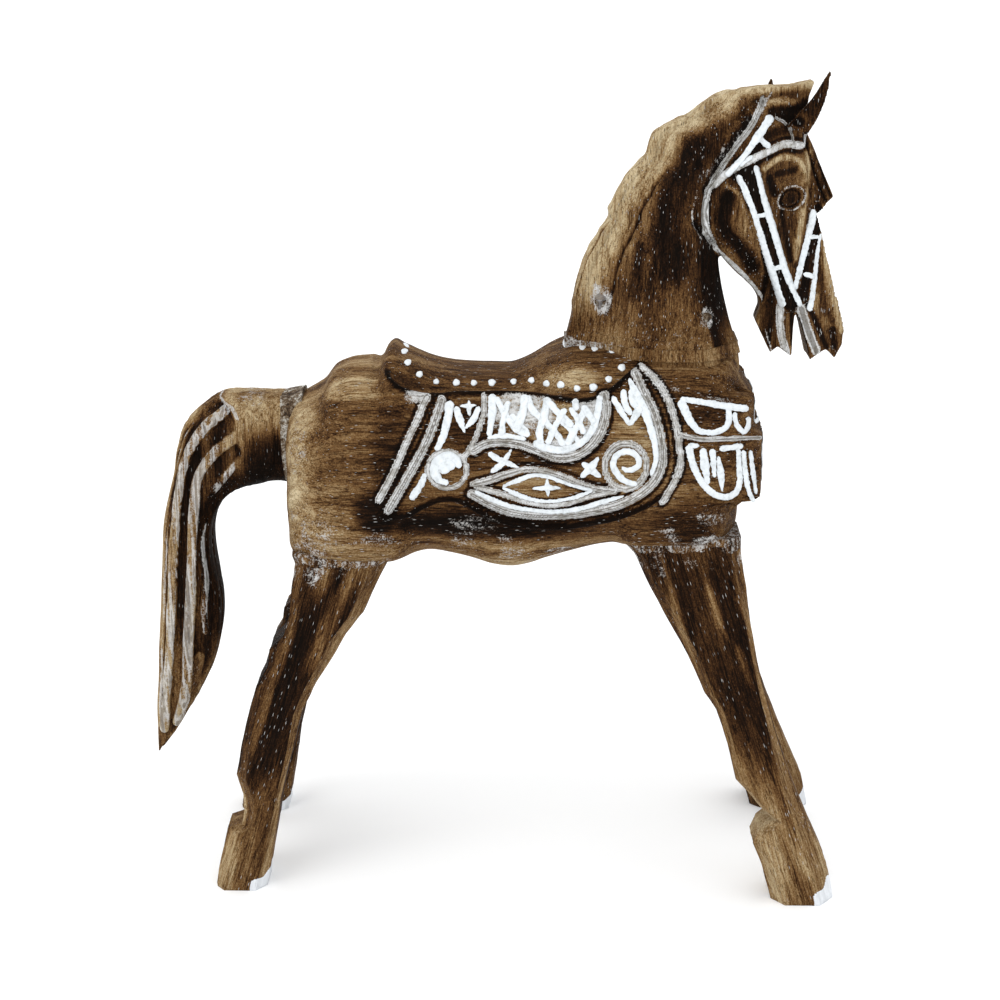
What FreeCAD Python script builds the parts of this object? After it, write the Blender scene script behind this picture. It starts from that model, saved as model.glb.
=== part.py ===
"""A carved wooden standing horse with a saddle, as a parametric FreeCAD document.

The horse is assembled from separate carved blocks, as such figurines are made: a torso, one block for
the neck and head, four legs and a tail. Hidden dowels, slanted nails and a layer of putty hold each joint.
Frame: +X towards the muzzle, +Y the horse's left, +Z up, origin on the floor under the middle. Millimetres.
"""
import FreeCAD, Part
import math
import os
import Sketcher

from FreeCAD import Placement, Rotation, Vector

doc = FreeCAD.newDocument("carved_horse")

# ---------------------------------------------------------------- driving dimensions

sheet = doc.addObject("Spreadsheet::Sheet", "Sizes")
sizes = {}


def size(alias, value, note=""):
    """Adds one driving dimension to the sheet, as a plain number with an alias."""
    row = len(sizes) + 1
    sheet.set(f"A{row}", alias)
    sheet.set(f"B{row}", repr(float(value)))
    sheet.set(f"C{row}", note)
    sheet.setAlias(f"B{row}", alias)
    sizes[alias] = float(value)


def stations(prefix, fields, table):
    """Adds the dimensions of each named cross-section of a carved block."""
    for station, values in table.items():
        for field, value in zip(fields, values):
            size(f"{prefix}_{station}_{field}", value)


def cell(alias):
    """The expression that reads one cell of the sheet."""
    return f"Sizes.{alias}"


# The torso is a rounded block: at each station along X, its underside, top, half width and corner radius.
TORSO_FIELDS = ("along", "low", "high", "half", "corner")
TORSO = {
    "rump": (-96.0, 161.0, 242.0, 35.0, 17.0),
    "croup": (-82.0, 160.0, 250.0, 43.0, 22.0),
    "haunch": (-62.0, 160.0, 259.5, 46.5, 26.0),
    "loin": (-38.0, 165.0, 260.5, 46.0, 30.0),
    "seat": (-8.0, 163.0, 258.0, 45.0, 33.0),
    "belly": (14.0, 159.0, 258.5, 45.0, 35.0),
    "girth": (44.0, 166.0, 266.5, 46.0, 32.0),
    "withers": (76.0, 171.0, 270.0, 47.0, 27.0),
    "shoulder": (105.0, 171.5, 268.5, 46.0, 25.0),
    "collar": (120.5, 174.0, 266.0, 42.0, 22.0),
    "breast": (129.0, 179.0, 241.0, 37.0, 19.0),
    "chest": (135.0, 188.0, 224.0, 29.0, 15.0),
}
stations("torso", TORSO_FIELDS, TORSO)
size("cantle_along", -50.0, "rear lip of the saddle")
size("cantle_thick", 5.5)
size("cantle_low", 225.0)
size("cantle_high", 267.6)
size("cantle_half", 39.0)
size("cantle_corner", 20.0)

# The neck rises from a flat seat on the torso: height, mane edge, throat edge, half width, mane's half width.
NECK_FIELDS = ("height", "back", "front", "half", "crest")
NECK = {
    "base": (266.2, 38.0, 121.5, 34.0, 13.0),
    "root": (282.0, 39.0, 116.5, 29.0, 9.5),
    "lower": (300.0, 43.5, 112.5, 26.0, 8.0),
    "middle": (318.0, 51.5, 110.5, 24.0, 7.0),
    "upper": (336.0, 60.0, 110.0, 21.5, 6.5),
    "nape": (354.0, 72.0, 112.0, 19.0, 6.0),
    "poll": (370.0, 84.0, 118.0, 16.0, 5.5),
    "crown": (382.0, 101.0, 128.0, 11.0, 5.0),
}
stations("neck", NECK_FIELDS, NECK)

# The head hangs steeply: height, back of the jaw, cheek, face, and the half widths at those three places.
HEAD_FIELDS = ("height", "jaw", "cheek", "face", "jaw_half", "cheek_half", "face_half")
HEAD = {
    "brow": (376.0, 112.0, 128.0, 146.5, 12.0, 15.5, 8.0),
    "temple": (360.0, 106.0, 126.0, 149.5, 14.0, 19.5, 9.0),
    "eye": (342.0, 105.0, 124.0, 153.0, 14.0, 21.0, 9.0),
    "jowl": (324.0, 107.0, 124.0, 158.0, 13.5, 20.0, 7.5),
    "throat": (311.0, 114.0, 130.0, 161.5, 10.5, 17.0, 7.0),
    "jaw": (300.0, 126.0, 138.0, 165.0, 8.5, 14.0, 7.0),
    "bit": (288.0, 131.5, 145.0, 168.2, 8.0, 12.5, 7.0),
    "nostril": (274.0, 129.5, 150.0, 172.4, 8.5, 12.5, 7.5),
    "lips": (258.0, 129.5, 150.0, 172.4, 7.5, 11.0, 6.5),
}
stations("head", HEAD_FIELDS, HEAD)
size("lock_half", 6.5, "half thickness of the mane's crest and the forelock")

# The carved outline of the mouth and chin, from the jaw's corner forward to the nose.
MOUTH = {
    "jaw_corner": (127.0, 292.0),
    "chin_dip": (131.4, 290.0),
    "chin": (129.4, 280.5),
    "chin_tip": (137.0, 264.7),
    "lower_lip_dip": (140.2, 268.2),
    "lower_lip_tip": (146.9, 263.6),
    "mouth_corner": (147.8, 287.0),
    "upper_lip_tip": (155.7, 261.4),
    "upper_lip_dip": (163.7, 266.4),
    "nose_tip": (168.3, 261.7),
    "nostril_edge": (172.0, 268.4),
}
stations("mouth", ("along", "height"), MOUTH)

# The mane's crest runs over the poll and hangs down the forehead as a pointed forelock.
CREST = {
    "nape": (77.0, 366.5),
    "rise": (93.5, 378.0),
    "arch": (107.5, 387.3),
    "poll": (127.5, 391.3),
    "tuft": (153.5, 394.4),
    "tuft_root": (151.0, 387.5),
    "brow": (150.2, 370.5),
    "point": (164.8, 339.8),
    "tuck": (157.0, 332.6),
    "inside": (140.0, 340.0),
    "buried": (118.0, 366.0),
}
stations("crest", ("along", "height"), CREST)

# Each ear is a pointed leaf; the left one was cut shorter and stands more upright.
for side, root, tip, tip_height in (("right", 135.0, 158.6, 400.0), ("left", 126.0, 134.6, 393.0)):
    size(f"ear_{side}_root", root)
    size(f"ear_{side}_tip", tip)
    size(f"ear_{side}_tip_height", tip_height)
size("ear_root_height", 368.0)
size("ear_root_long", 14.0)
size("ear_root_inner", 5.5)
size("ear_root_outer", 17.5)
size("ear_tip_out", 14.0)
size("ear_tip_size", 1.2)

# Legs: height, rear edge and front edge of each station. The legs stand splayed, wider at the feet.
LEG_FIELDS = ("height", "back", "front")
HIND = {
    "top": (164.3, -95.0, -45.5),
    "thigh": (150.0, -96.5, -54.5),
    "stifle": (137.0, -97.5, -62.5),
    "gaskin": (126.0, -104.0, -71.0),
    "hock": (113.0, -108.5, -78.5),
    "cannon": (88.0, -118.8, -92.5),
    "fetlock": (57.0, -125.2, -100.5),
    "pastern": (30.0, -131.0, -105.5),
    "sole": (0.0, -136.5, -110.5),
}
FORE = {
    "top": (173.3, 70.5, 124.0),
    "arm": (158.0, 77.5, 126.0),
    "elbow": (140.0, 87.5, 128.5),
    "forearm": (120.0, 98.5, 132.0),
    "knee": (98.0, 109.5, 138.5),
    "cannon": (79.0, 118.0, 144.0),
    "fetlock": (61.0, 122.5, 151.0),
    "pastern": (29.0, 131.5, 163.5),
    "sole": (0.0, 141.0, 172.0),
}
stations("hind", LEG_FIELDS, HIND)
stations("fore", LEG_FIELDS, FORE)
size("hind_top_out", 23.5, "from the middle plane to the leg's axis, at the joint")
size("hind_sole_out", 46.0)
size("fore_top_out", 23.5)
size("fore_sole_out", 56.5)
size("leg_top_half", 17.0)
size("leg_sole_half", 14.0)
size("leg_edge", 6.5, "chamfer of a leg's corners")

# The knife cut above each hoof that forms the fetlock and heel, as points from its upper end down.
HIND_NOTCH = {
    "start": (-125.2, 57.0),
    "hollow": (-121.4, 46.0),
    "deep": (-122.4, 32.0),
    "heel": (-129.8, 29.0),
}
FORE_NOTCH = {
    "start": (122.5, 61.5),
    "hollow": (136.8, 45.2),
    "deep": (142.0, 41.0),
    "step": (134.6, 35.5),
    "heel": (131.2, 29.0),
}
stations("hind_notch", ("along", "height"), HIND_NOTCH)
stations("fore_notch", ("along", "height"), FORE_NOTCH)
size("notch_reach", 30.0, "how far the cut's tool runs out behind the leg")

# The tail arches off the rump and hangs: centre, downward turn in degrees, half depth and half width.
TAIL_FIELDS = ("along", "height", "turn", "deep", "half")
TAIL = {
    "root": (-96.0, 220.0, 0.0, 20.5, 16.5),
    "dock": (-112.0, 219.5, 0.0, 22.5, 17.5),
    "arch": (-128.5, 216.0, -22.0, 25.0, 18.5),
    "bend": (-141.5, 205.5, -48.0, 23.0, 19.5),
    "shoulder": (-149.0, 189.0, -68.0, 16.5, 19.0),
    "upper": (-151.5, 168.0, -85.0, 12.8, 17.5),
    "middle": (-151.3, 140.0, -88.0, 14.5, 16.5),
    "belly": (-152.3, 118.0, -86.0, 15.5, 15.0),
    "lower": (-157.5, 92.0, -80.0, 12.5, 12.0),
    "taper": (-164.0, 71.0, -76.0, 8.2, 8.5),
    "tip": (-171.4, 50.5, -74.0, 1.0, 1.5),
}
stations("tail", TAIL_FIELDS, TAIL)

# Joint faces and the hardware hidden in them.
size("neck_seat_height", 265.0)
size("neck_seat_back", 36.5)
size("hind_seat_height", 165.5)
size("hind_seat_front", -42.0)
size("fore_seat_height", 174.5)
size("fore_seat_back", 66.0)
size("putty_thick", 1.2, "layer of putty in each glued joint")
size("putty_proud", 0.6, "how far that layer squeezes out")
size("collar_long", 10.0, "putty collar where the tail meets the rump")
size("collar_proud", 3.2)
size("leg_dowel_radius", 4.0)
size("leg_dowel_long", 30.0)
size("leg_dowel_pitch", 21.0)
size("neck_dowel_radius", 5.0)
size("neck_dowel_long", 56.0)
size("neck_dowel_pitch", 38.0)
size("tail_dowel_radius", 5.0)
size("tail_dowel_long", 40.0)
size("nail_radius", 1.3)
size("nail_long", 42.0)
size("nail_head_radius", 2.6)
size("nail_head_thick", 1.0)
size("nail_slope", 24.0, "degrees from vertical, leaning in towards the middle plane")
size("nail_rear_along", 54.0)
size("nail_rear_height", 293.0)
size("nail_rear_out", 13.5)
size("nail_front_along", 104.5)
size("nail_front_height", 285.0)
size("nail_front_out", 18.0)
doc.recompute()


# ---------------------------------------------------------------- sketch and feature helpers


def new_body(name):
    """A PartDesign body, named for the block that it becomes."""
    return doc.addObject("PartDesign::Body", name)


def plane_of(body, role):
    """One of the body's own origin planes, such as XY_Plane."""
    return next(f for f in body.Origin.OriginFeatures if f.Role == role)


def new_sketch(body, name, role, offset=None):
    """A sketch on an origin plane of its body, moved along the plane's normal by a cell of the sheet."""
    sketch = body.newObject("Sketcher::SketchObject", name)
    sketch.AttachmentSupport = [(plane_of(body, role), "")]
    sketch.MapMode = "FlatFace"
    if offset:
        sketch.setExpression(".AttachmentOffset.Base.z", offset)
    return sketch


def value_of(expression):
    """The number an expression such as -Sizes.a + 0.5 * Sizes.b stands for, to place the first guess."""
    total = 0.0
    for term in expression.replace("- ", "+ -").split("+ "):
        product = 1.0
        for factor in term.split("*"):
            word = factor.strip().lstrip("-")
            number = sizes[word[len("Sizes."):]] if word.startswith("Sizes.") else float(word)
            product *= -number if factor.strip().startswith("-") else number
        total += product
    return total


def bind(sketch, kind, geometry, point, expression):
    """Constrains one point's distance from the sketch origin to an expression over the sheet."""
    index = sketch.addConstraint(
        Sketcher.Constraint(kind, -1, 1, geometry, point, value_of(expression))
    )
    sketch.setExpression(f"Constraints[{index}]", expression)


def polygon(sketch, corners):
    """Draws a closed polygon whose corners (across, up) are expressions over the sheet."""
    points = [Vector(value_of(u), value_of(v), 0) for u, v in corners]
    first = sketch.GeometryCount
    count = len(points)
    for i in range(count):
        sketch.addGeometry(Part.LineSegment(points[i], points[(i + 1) % count]), False)
    for i in range(count):
        following = first + (i + 1) % count
        sketch.addConstraint(Sketcher.Constraint("Coincident", first + i, 2, following, 1))
    for i, (across, up) in enumerate(corners):
        bind(sketch, "DistanceX", first + i, 1, across)
        bind(sketch, "DistanceY", first + i, 1, up)


def rounded_block(sketch, half, low, high, corner):
    """Draws a rectangle with rounded corners, symmetric about the sketch's vertical axis."""
    w, z0, z1, r = (value_of(e) for e in (half, low, high, corner))
    flats = [
        (Vector(-w + r, z0, 0), Vector(w - r, z0, 0)),
        (Vector(w, z0 + r, 0), Vector(w, z1 - r, 0)),
        (Vector(w - r, z1, 0), Vector(-w + r, z1, 0)),
        (Vector(-w, z1 - r, 0), Vector(-w, z0 + r, 0)),
    ]
    centres = [(w - r, z0 + r), (w - r, z1 - r), (-w + r, z1 - r), (-w + r, z0 + r)]
    for i in range(4):
        sketch.addGeometry(Part.LineSegment(*flats[i]), False)
        circle = Part.Circle(Vector(*centres[i], 0), Vector(0, 0, 1), r)
        turn = math.pi / 2
        sketch.addGeometry(Part.ArcOfCircle(circle, (i - 1) * turn, i * turn), False)
    for i in range(4):
        line, arc, following = 2 * i, 2 * i + 1, (2 * i + 2) % 8
        sketch.addConstraint(Sketcher.Constraint("Tangent", line, 2, arc, 1))
        sketch.addConstraint(Sketcher.Constraint("Tangent", arc, 2, following, 1))
        sketch.addConstraint(Sketcher.Constraint("Vertical" if i % 2 else "Horizontal", line))
    for arc in (3, 5, 7):
        sketch.addConstraint(Sketcher.Constraint("Equal", 1, arc))
    radius = sketch.addConstraint(Sketcher.Constraint("Radius", 1, r))
    sketch.setExpression(f"Constraints[{radius}]", corner)
    bind(sketch, "DistanceX", 2, 1, half)
    bind(sketch, "DistanceX", 6, 1, f"-{half}")
    bind(sketch, "DistanceY", 0, 1, low)
    bind(sketch, "DistanceY", 4, 1, high)


def loft(body, name, sketches, ruled=False):
    """Lofts one additive solid through a body's sketches."""
    feature = body.newObject("PartDesign::AdditiveLoft", name)
    feature.Profile = sketches[0]
    feature.Sections = sketches[1:]
    feature.Ruled = ruled
    doc.recompute()
    return feature


def pad(body, name, sketch, length, symmetric=False):
    """Pads a sketch by a length that is an expression over the sheet."""
    feature = body.newObject("PartDesign::Pad", name)
    feature.Profile = sketch
    feature.Midplane = symmetric
    feature.setExpression("Length", length)
    doc.recompute()
    return feature


def cut_through(body, name, sketch):
    """Pockets a sketch through the whole body, both ways, and checks that wood came off."""
    before = body.Shape.Volume
    feature = body.newObject("PartDesign::Pocket", name)
    feature.Profile = sketch
    feature.Type = "ThroughAll"
    feature.Midplane = True
    doc.recompute()
    if not body.Shape.Volume < before - 1.0:
        raise RuntimeError(f"{name} removed nothing")
    return feature


def outline(prefix, names):
    """The corners of an outline whose points the sheet holds as along and height."""
    return [(cell(f"{prefix}_{n}_along"), cell(f"{prefix}_{n}_height")) for n in names]


# ---------------------------------------------------------------- dowels and nails


def dowel(name, radius, length, place, direction=Vector(0, 0, 1)):
    """A turned hardwood dowel whose middle lies at a place, along a direction."""
    pin = doc.addObject("Part::Cylinder", name)
    pin.setExpression("Radius", cell(radius))
    pin.setExpression("Height", cell(length))
    turn = Rotation(Vector(0, 0, 1), direction)
    pin.Placement = Placement(place - direction * (sizes[length] / 2), turn)
    return pin


def group(label, members):
    """Several identical loose pieces as one node."""
    node = doc.addObject("Part::Compound", label)
    node.Label = label
    node.Links = members
    return node


def leg_dowels(prefix, side, sign):
    """The two dowels in one leg's joint, one behind the other."""
    top = sizes[f"{prefix}_top_height"] + sizes["putty_thick"] / 2
    low = "thigh" if prefix == "hind" else "arm"
    middle = (sizes[f"{prefix}_{low}_back"] + sizes[f"{prefix}_{low}_front"]) / 2
    pins = []
    for n, step in enumerate((-0.5, 0.5)):
        place = Vector(middle + step * sizes["leg_dowel_pitch"], sign * sizes[f"{prefix}_top_out"], top)
        pins.append(dowel(f"{prefix}_{side}_pin_{n}", "leg_dowel_radius", "leg_dowel_long", place))
    return group(f"{prefix}_leg_{side}_dowels", pins)


def neck_dowels():
    """The two thick dowels between the torso and the neck."""
    middle = (sizes["neck_base_back"] + sizes["neck_base_front"]) / 2
    pins = []
    for n, step in enumerate((-0.5, 0.5)):
        place = Vector(middle + step * sizes["neck_dowel_pitch"], 0, sizes["neck_seat_height"])
        pins.append(dowel(f"neck_pin_{n}", "neck_dowel_radius", "neck_dowel_long", place))
    return group("neck_dowels", pins)


def tail_dowel():
    """The dowel that holds the tail to the rump."""
    place = Vector(sizes["tail_root_along"], 0, sizes["tail_root_height"])
    pin = dowel("tail_dowel", "tail_dowel_radius", "tail_dowel_long", place, Vector(1, 0, 0))
    pin.Label = "tail_dowel"
    return pin


def nail_frame(end, sign):
    """Where a slanted nail's head sits, and the turn that points the nail down and inwards."""
    place = Vector(sizes[f"nail_{end}_along"], sign * sizes[f"nail_{end}_out"], sizes[f"nail_{end}_height"])
    lean = math.radians(sizes["nail_slope"])
    down = Vector(0, -sign * math.sin(lean), -math.cos(lean))
    return Placement(place, Rotation(Vector(0, 0, 1), down))


def neck_nails():
    """Four wire nails driven down through the foot of the neck into the torso, two on each side."""
    nails, plugs = [], []
    for end in ("rear", "front"):
        for side, sign in (("right", -1), ("left", 1)):
            frame = nail_frame(end, sign)
            shank = doc.addObject("Part::Cylinder", f"nail_shank_{end}_{side}")
            shank.setExpression("Radius", cell("nail_radius"))
            shank.setExpression("Height", cell("nail_long"))
            shank.Placement = frame
            head = doc.addObject("Part::Cylinder", f"nail_head_{end}_{side}")
            head.setExpression("Radius", cell("nail_head_radius"))
            head.setExpression("Height", cell("nail_head_thick"))
            head.Placement = frame
            nail = doc.addObject("Part::Fuse", f"nail_{end}_{side}")
            nail.Base, nail.Tool = shank, head
            nails.append(nail)
            plug = doc.addObject("Part::Cylinder", f"nail_well_{end}_{side}")
            plug.setExpression("Radius", cell("nail_head_radius"))
            plug.Height = 30
            back = frame.multVec(Vector(0, 0, -plug.Height.Value))
            plug.Placement = Placement(back, frame.Rotation)
            plugs.append(plug)
    return group("neck_nails", nails), plugs


# ---------------------------------------------------------------- carved blocks


def make_torso():
    """The torso: a rounded block lofted from rump to chest, with the cantle and the flat joint seats."""
    body = new_body("torso_blank")
    sections = []
    for station in TORSO:
        at = {f: cell(f"torso_{station}_{f}") for f in TORSO_FIELDS}
        sketch = new_sketch(body, f"torso_{station}", "YZ_Plane", at["along"])
        rounded_block(sketch, at["half"], at["low"], at["high"], at["corner"])
        sections.append(sketch)
    loft(body, "torso_loft", sections)
    lip = new_sketch(body, "cantle_outline", "YZ_Plane", cell("cantle_along"))
    rounded_block(lip, *(cell(f"cantle_{f}") for f in ("half", "low", "high", "corner")))
    pad(body, "cantle", lip, cell("cantle_thick"))

    seats = new_sketch(body, "neck_seat", "XZ_Plane")
    back, level = cell("neck_seat_back"), cell("neck_seat_height")
    polygon(seats, [(back, level), (f"{back} + 150", level), (f"{back} + 150", f"{level} + 60"),
                    (back, f"{level} + 60")])
    cut_through(body, "neck_seat_cut", seats)
    seats = new_sketch(body, "hind_seat", "XZ_Plane")
    front, level = cell("hind_seat_front"), cell("hind_seat_height")
    polygon(seats, [(f"{front} - 80", f"{level} - 60"), (front, f"{level} - 60"), (front, level),
                    (f"{front} - 80", level)])
    cut_through(body, "hind_seat_cut", seats)
    seats = new_sketch(body, "fore_seat", "XZ_Plane")
    back, level = cell("fore_seat_back"), cell("fore_seat_height")
    polygon(seats, [(back, f"{level} - 60"), (f"{back} + 90", f"{level} - 60"),
                    (f"{back} + 90", level), (back, level)])
    cut_through(body, "fore_seat_cut", seats)
    return body


def neck_corners(station):
    """Horizontal section of the neck: a thin mane edge behind, widest past the middle, a narrow throat."""
    at = {f: cell(f"neck_{station}_{f}") for f in NECK_FIELDS}
    back, front, half, crest = at["back"], at["front"], at["half"], at["crest"]
    right = [
        (back, f"-{crest}"),
        (f"0.75 * {back} + 0.25 * {front}", f"-0.78 * {half}"),
        (f"0.4 * {back} + 0.6 * {front}", f"-{half}"),
        (f"0.12 * {back} + 0.88 * {front}", f"-0.74 * {half}"),
        (front, f"-0.36 * {half}"),
    ]
    return right + [(u, v.lstrip("-")) for u, v in reversed(right)]


def head_corners(station):
    """Horizontal section of the head: a wedge, broad at the cheeks and narrow at the face."""
    at = {f: cell(f"head_{station}_{f}") for f in HEAD_FIELDS}
    right = [(at[place], f"-{at[place + '_half']}") for place in ("jaw", "cheek", "face")]
    return right + [(u, v.lstrip("-")) for u, v in reversed(right)]


def ear(body, side, sign):
    """One ear: a three-sided leaf lofted from its root on the head to a small tip."""
    start = f"{sign} * "
    root, length = cell(f"ear_{side}_root"), cell("ear_root_long")
    inner, outer = f"{start}{cell('ear_root_inner')}", f"{start}{cell('ear_root_outer')}"
    base = new_sketch(body, f"ear_{side}_base", "XY_Plane", cell("ear_root_height"))
    polygon(base, [(root, inner), (f"{root} + {length}", inner), (f"{root} + 0.55 * {length}", outer)])
    along, out, small = cell(f"ear_{side}_tip"), f"{start}{cell('ear_tip_out')}", cell("ear_tip_size")
    tip = new_sketch(body, f"ear_{side}_point", "XY_Plane", cell(f"ear_{side}_tip_height"))
    polygon(tip, [(f"{along} - {small}", out), (along, out),
                  (f"{along} - 0.5 * {small}", f"{out} + {start}{small}")])
    loft(body, f"ear_{side}", [base, tip], ruled=True)


def make_neck_and_head():
    """The neck and head, carved from one upright block, with the mane's crest, forelock, ears and mouth."""
    body = new_body("neck_blank")
    sections = []
    for station in NECK:
        sketch = new_sketch(body, f"neck_{station}", "XY_Plane", cell(f"neck_{station}_height"))
        polygon(sketch, neck_corners(station))
        sections.append(sketch)
    loft(body, "neck_loft", sections, ruled=True)
    sections = []
    for station in HEAD:
        sketch = new_sketch(body, f"head_{station}", "XY_Plane", cell(f"head_{station}_height"))
        polygon(sketch, head_corners(station))
        sections.append(sketch)
    loft(body, "head_loft", sections, ruled=True)

    # The XZ plane's normal is -Y, but its own axes are still +X and +Z.
    crest = new_sketch(body, "crest_outline", "XZ_Plane")
    polygon(crest, outline("crest", CREST))
    pad(body, "crest", crest, f"2 * {cell('lock_half')}", symmetric=True)
    ear(body, "right", -1)
    ear(body, "left", 1)
    mouth = new_sketch(body, "mouth_outline", "XZ_Plane")
    bottom, top = cell("head_lips_height"), cell("head_nostril_height")
    back, front = cell("head_lips_jaw"), cell("head_lips_face")
    surround = [(f"{front} + 5", top), (f"{front} + 5", f"{bottom} - 10"),
                (f"{back} - 20", f"{bottom} - 10"), (f"{back} - 20", cell("mouth_jaw_corner_height"))]
    polygon(mouth, outline("mouth", MOUTH) + [(front, top)] + surround)
    cut_through(body, "mouth_cut", mouth)
    return body


def leg_corners(prefix, station, sign):
    """Horizontal section of a leg: a rectangle with chamfered corners, at its place on the leg's slant."""
    share = sizes[f"{prefix}_{station}_height"] / sizes[f"{prefix}_top_height"]
    out = f"{sign * share} * {cell(f'{prefix}_top_out')} + {sign * (1 - share)} * {cell(f'{prefix}_sole_out')}"
    half = f"{share} * {cell('leg_top_half')} + {1 - share} * {cell('leg_sole_half')}"
    less = f"{-share} * {cell('leg_top_half')} + {share - 1} * {cell('leg_sole_half')}"
    back, front, edge = cell(f"{prefix}_{station}_back"), cell(f"{prefix}_{station}_front"), cell("leg_edge")
    low, high = f"{out} + {less}", f"{out} + {half}"
    return [
        (f"{back} + {edge}", low), (f"{front} - {edge}", low), (front, f"{low} + {edge}"),
        (front, f"{high} - {edge}"), (f"{front} - {edge}", high), (f"{back} + {edge}", high),
        (back, f"{high} - {edge}"), (back, f"{low} + {edge}"),
    ]


def make_leg(prefix, table, notch, side, sign):
    """One leg: a faceted post lofted from joint to sole, with the cut behind it that shapes the fetlock."""
    body = new_body(f"{prefix}_{side}_blank")
    sections = []
    for station in table:
        name = f"{prefix}_{station}"
        sketch = new_sketch(body, f"{name}_{side}", "XY_Plane", cell(f"{name}_height"))
        polygon(sketch, leg_corners(prefix, station, sign))
        sections.append(sketch)
    loft(body, f"{prefix}_{side}_loft", sections, ruled=True)
    cut = new_sketch(body, f"{prefix}_{side}_notch", "XZ_Plane")
    points = outline(f"{prefix}_notch", notch)
    reach = cell("notch_reach")
    polygon(cut, points + [(f"{points[-1][0]} - {reach}", points[-1][1]),
                           (f"{points[-1][0]} - {reach}", points[0][1])])
    cut_through(body, f"{prefix}_{side}_notch_cut", cut)
    return body


def leg_putty(prefix, side, sign):
    """The layer of putty between one leg and its seat, squeezed out a little all round."""
    body = new_body(f"{prefix}_{side}_putty_layer")
    sketch = new_sketch(body, f"{prefix}_{side}_putty_outline", "XY_Plane", cell(f"{prefix}_top_height"))
    polygon(sketch, leg_corners(prefix, "top", sign))
    pad(body, f"{prefix}_{side}_putty_pad", sketch, cell("putty_thick"))
    return body


def tail_corners(station, proud=""):
    """Section of the tail across its own direction: a rectangle with broad chamfers."""
    half, deep = cell(f"tail_{station}_half"), cell(f"tail_{station}_deep")
    right = [(0.62, -1.0), (1.0, -0.5), (1.0, 0.5), (0.62, 1.0)]
    corners = right + [(-u, v) for u, v in reversed(right)]
    grow = cell("collar_proud")
    return [
        (f"{u} * {half}" + (f" + {u} * {grow}" if proud else ""),
         f"{v} * {deep}" + (f" + {v} * {grow}" if proud else ""))
        for u, v in corners
    ]


def make_tail():
    """The tail: lofted through sections that turn about Y as it arches off the rump and hangs."""
    body = new_body("tail_blank")
    sections = []
    for station in TAIL:
        sketch = new_sketch(body, f"tail_{station}", "YZ_Plane")
        base = Vector(0, sizes[f"tail_{station}_height"], sizes[f"tail_{station}_along"])
        sketch.AttachmentOffset = Placement(base, Rotation(Vector(1, 0, 0), sizes[f"tail_{station}_turn"]))
        sketch.setExpression(".AttachmentOffset.Base.y", cell(f"tail_{station}_height"))
        sketch.setExpression(".AttachmentOffset.Base.z", cell(f"tail_{station}_along"))
        polygon(sketch, tail_corners(station))
        sections.append(sketch)
    loft(body, "tail_loft", sections, ruled=True)
    return body


def tail_collar():
    """The rough putty collar round the tail's root, as a ring pressed against the rump."""
    body = new_body("tail_collar_ring")
    sketch = new_sketch(body, "collar_outline", "YZ_Plane")
    sketch.AttachmentOffset = Placement(Vector(0, sizes["tail_root_height"], 0), Rotation())
    sketch.setExpression(".AttachmentOffset.Base.y", cell("tail_root_height"))
    sketch.setExpression(".AttachmentOffset.Base.z", cell("tail_root_along"))
    polygon(sketch, tail_corners("root", proud="yes"))
    ring = pad(body, "collar", sketch, cell("collar_long"))
    ring.Reversed = True
    return body


def neck_putty():
    """The layer of putty between the neck and its seat."""
    body = new_body("neck_putty_layer")
    sketch = new_sketch(body, "neck_putty_outline", "XY_Plane", cell("neck_seat_height"))
    polygon(sketch, neck_corners("base"))
    pad(body, "neck_putty_pad", sketch, cell("putty_thick"))
    return body


def minus(label, blank, *tools):
    """The finished piece: its blank with the shapes of everything let into it cut away."""
    tool = tools[0]
    if len(tools) > 1:
        tool = doc.addObject("Part::MultiFuse", f"{label}_tools")
        tool.Shapes = list(tools)
    piece = doc.addObject("Part::Cut", label)
    piece.Label = label
    piece.Base, piece.Tool = blank, tool
    doc.recompute()
    return piece


# ---------------------------------------------------------------- assembly

nodes = []
LEGS = {"hind": (HIND, HIND_NOTCH), "fore": (FORE, FORE_NOTCH)}
SIDES = (("right", -1), ("left", 1))

all_dowels = []
for prefix, (table, notch) in LEGS.items():
    for side, sign in SIDES:
        pins = leg_dowels(prefix, side, sign)
        blank = make_leg(prefix, table, notch, side, sign)
        nodes.append(minus(f"{prefix}_leg_{side}", blank, pins))
        nodes.append(minus(f"{prefix}_leg_{side}_putty", leg_putty(prefix, side, sign), pins))
        nodes.append(pins)
        all_dowels.append(pins)

pins = neck_dowels()
pin = tail_dowel()
nails, wells = neck_nails()
nodes += [pins, pin, nails]

head_blank = make_neck_and_head()
nodes.append(minus("neck_and_head", head_blank, pins, nails, *wells))
nodes.append(minus("neck_putty", neck_putty(), pins, nails))
plug_parts = []
for well in wells:
    plug = doc.addObject("Part::Common", well.Name.replace("well", "plug"))
    plug.Base, plug.Tool = well, head_blank
    plug_parts.append(plug)
nodes.append(group("nail_plugs", plug_parts))

tail_blank = make_tail()
nodes.append(minus("tail", tail_blank, pin))
nodes.append(minus("tail_collar", tail_collar(), tail_blank))
nodes.append(minus("torso", make_torso(), pins, pin, nails, *all_dowels))
doc.recompute()

# ---------------------------------------------------------------- checks and export


def check_document():
    """Stops the build if any object failed to recompute or any piece is not a sound solid."""
    for thing in doc.Objects:
        if "Invalid" in thing.State or "Error" in thing.State:
            raise RuntimeError(f"{thing.Name} failed: {thing.State}")
    for node in nodes:
        shape = node.Shape
        if shape.isNull() or not shape.isValid() or not shape.Solids:
            raise RuntimeError(f"{node.Label} is not a valid solid")


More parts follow.
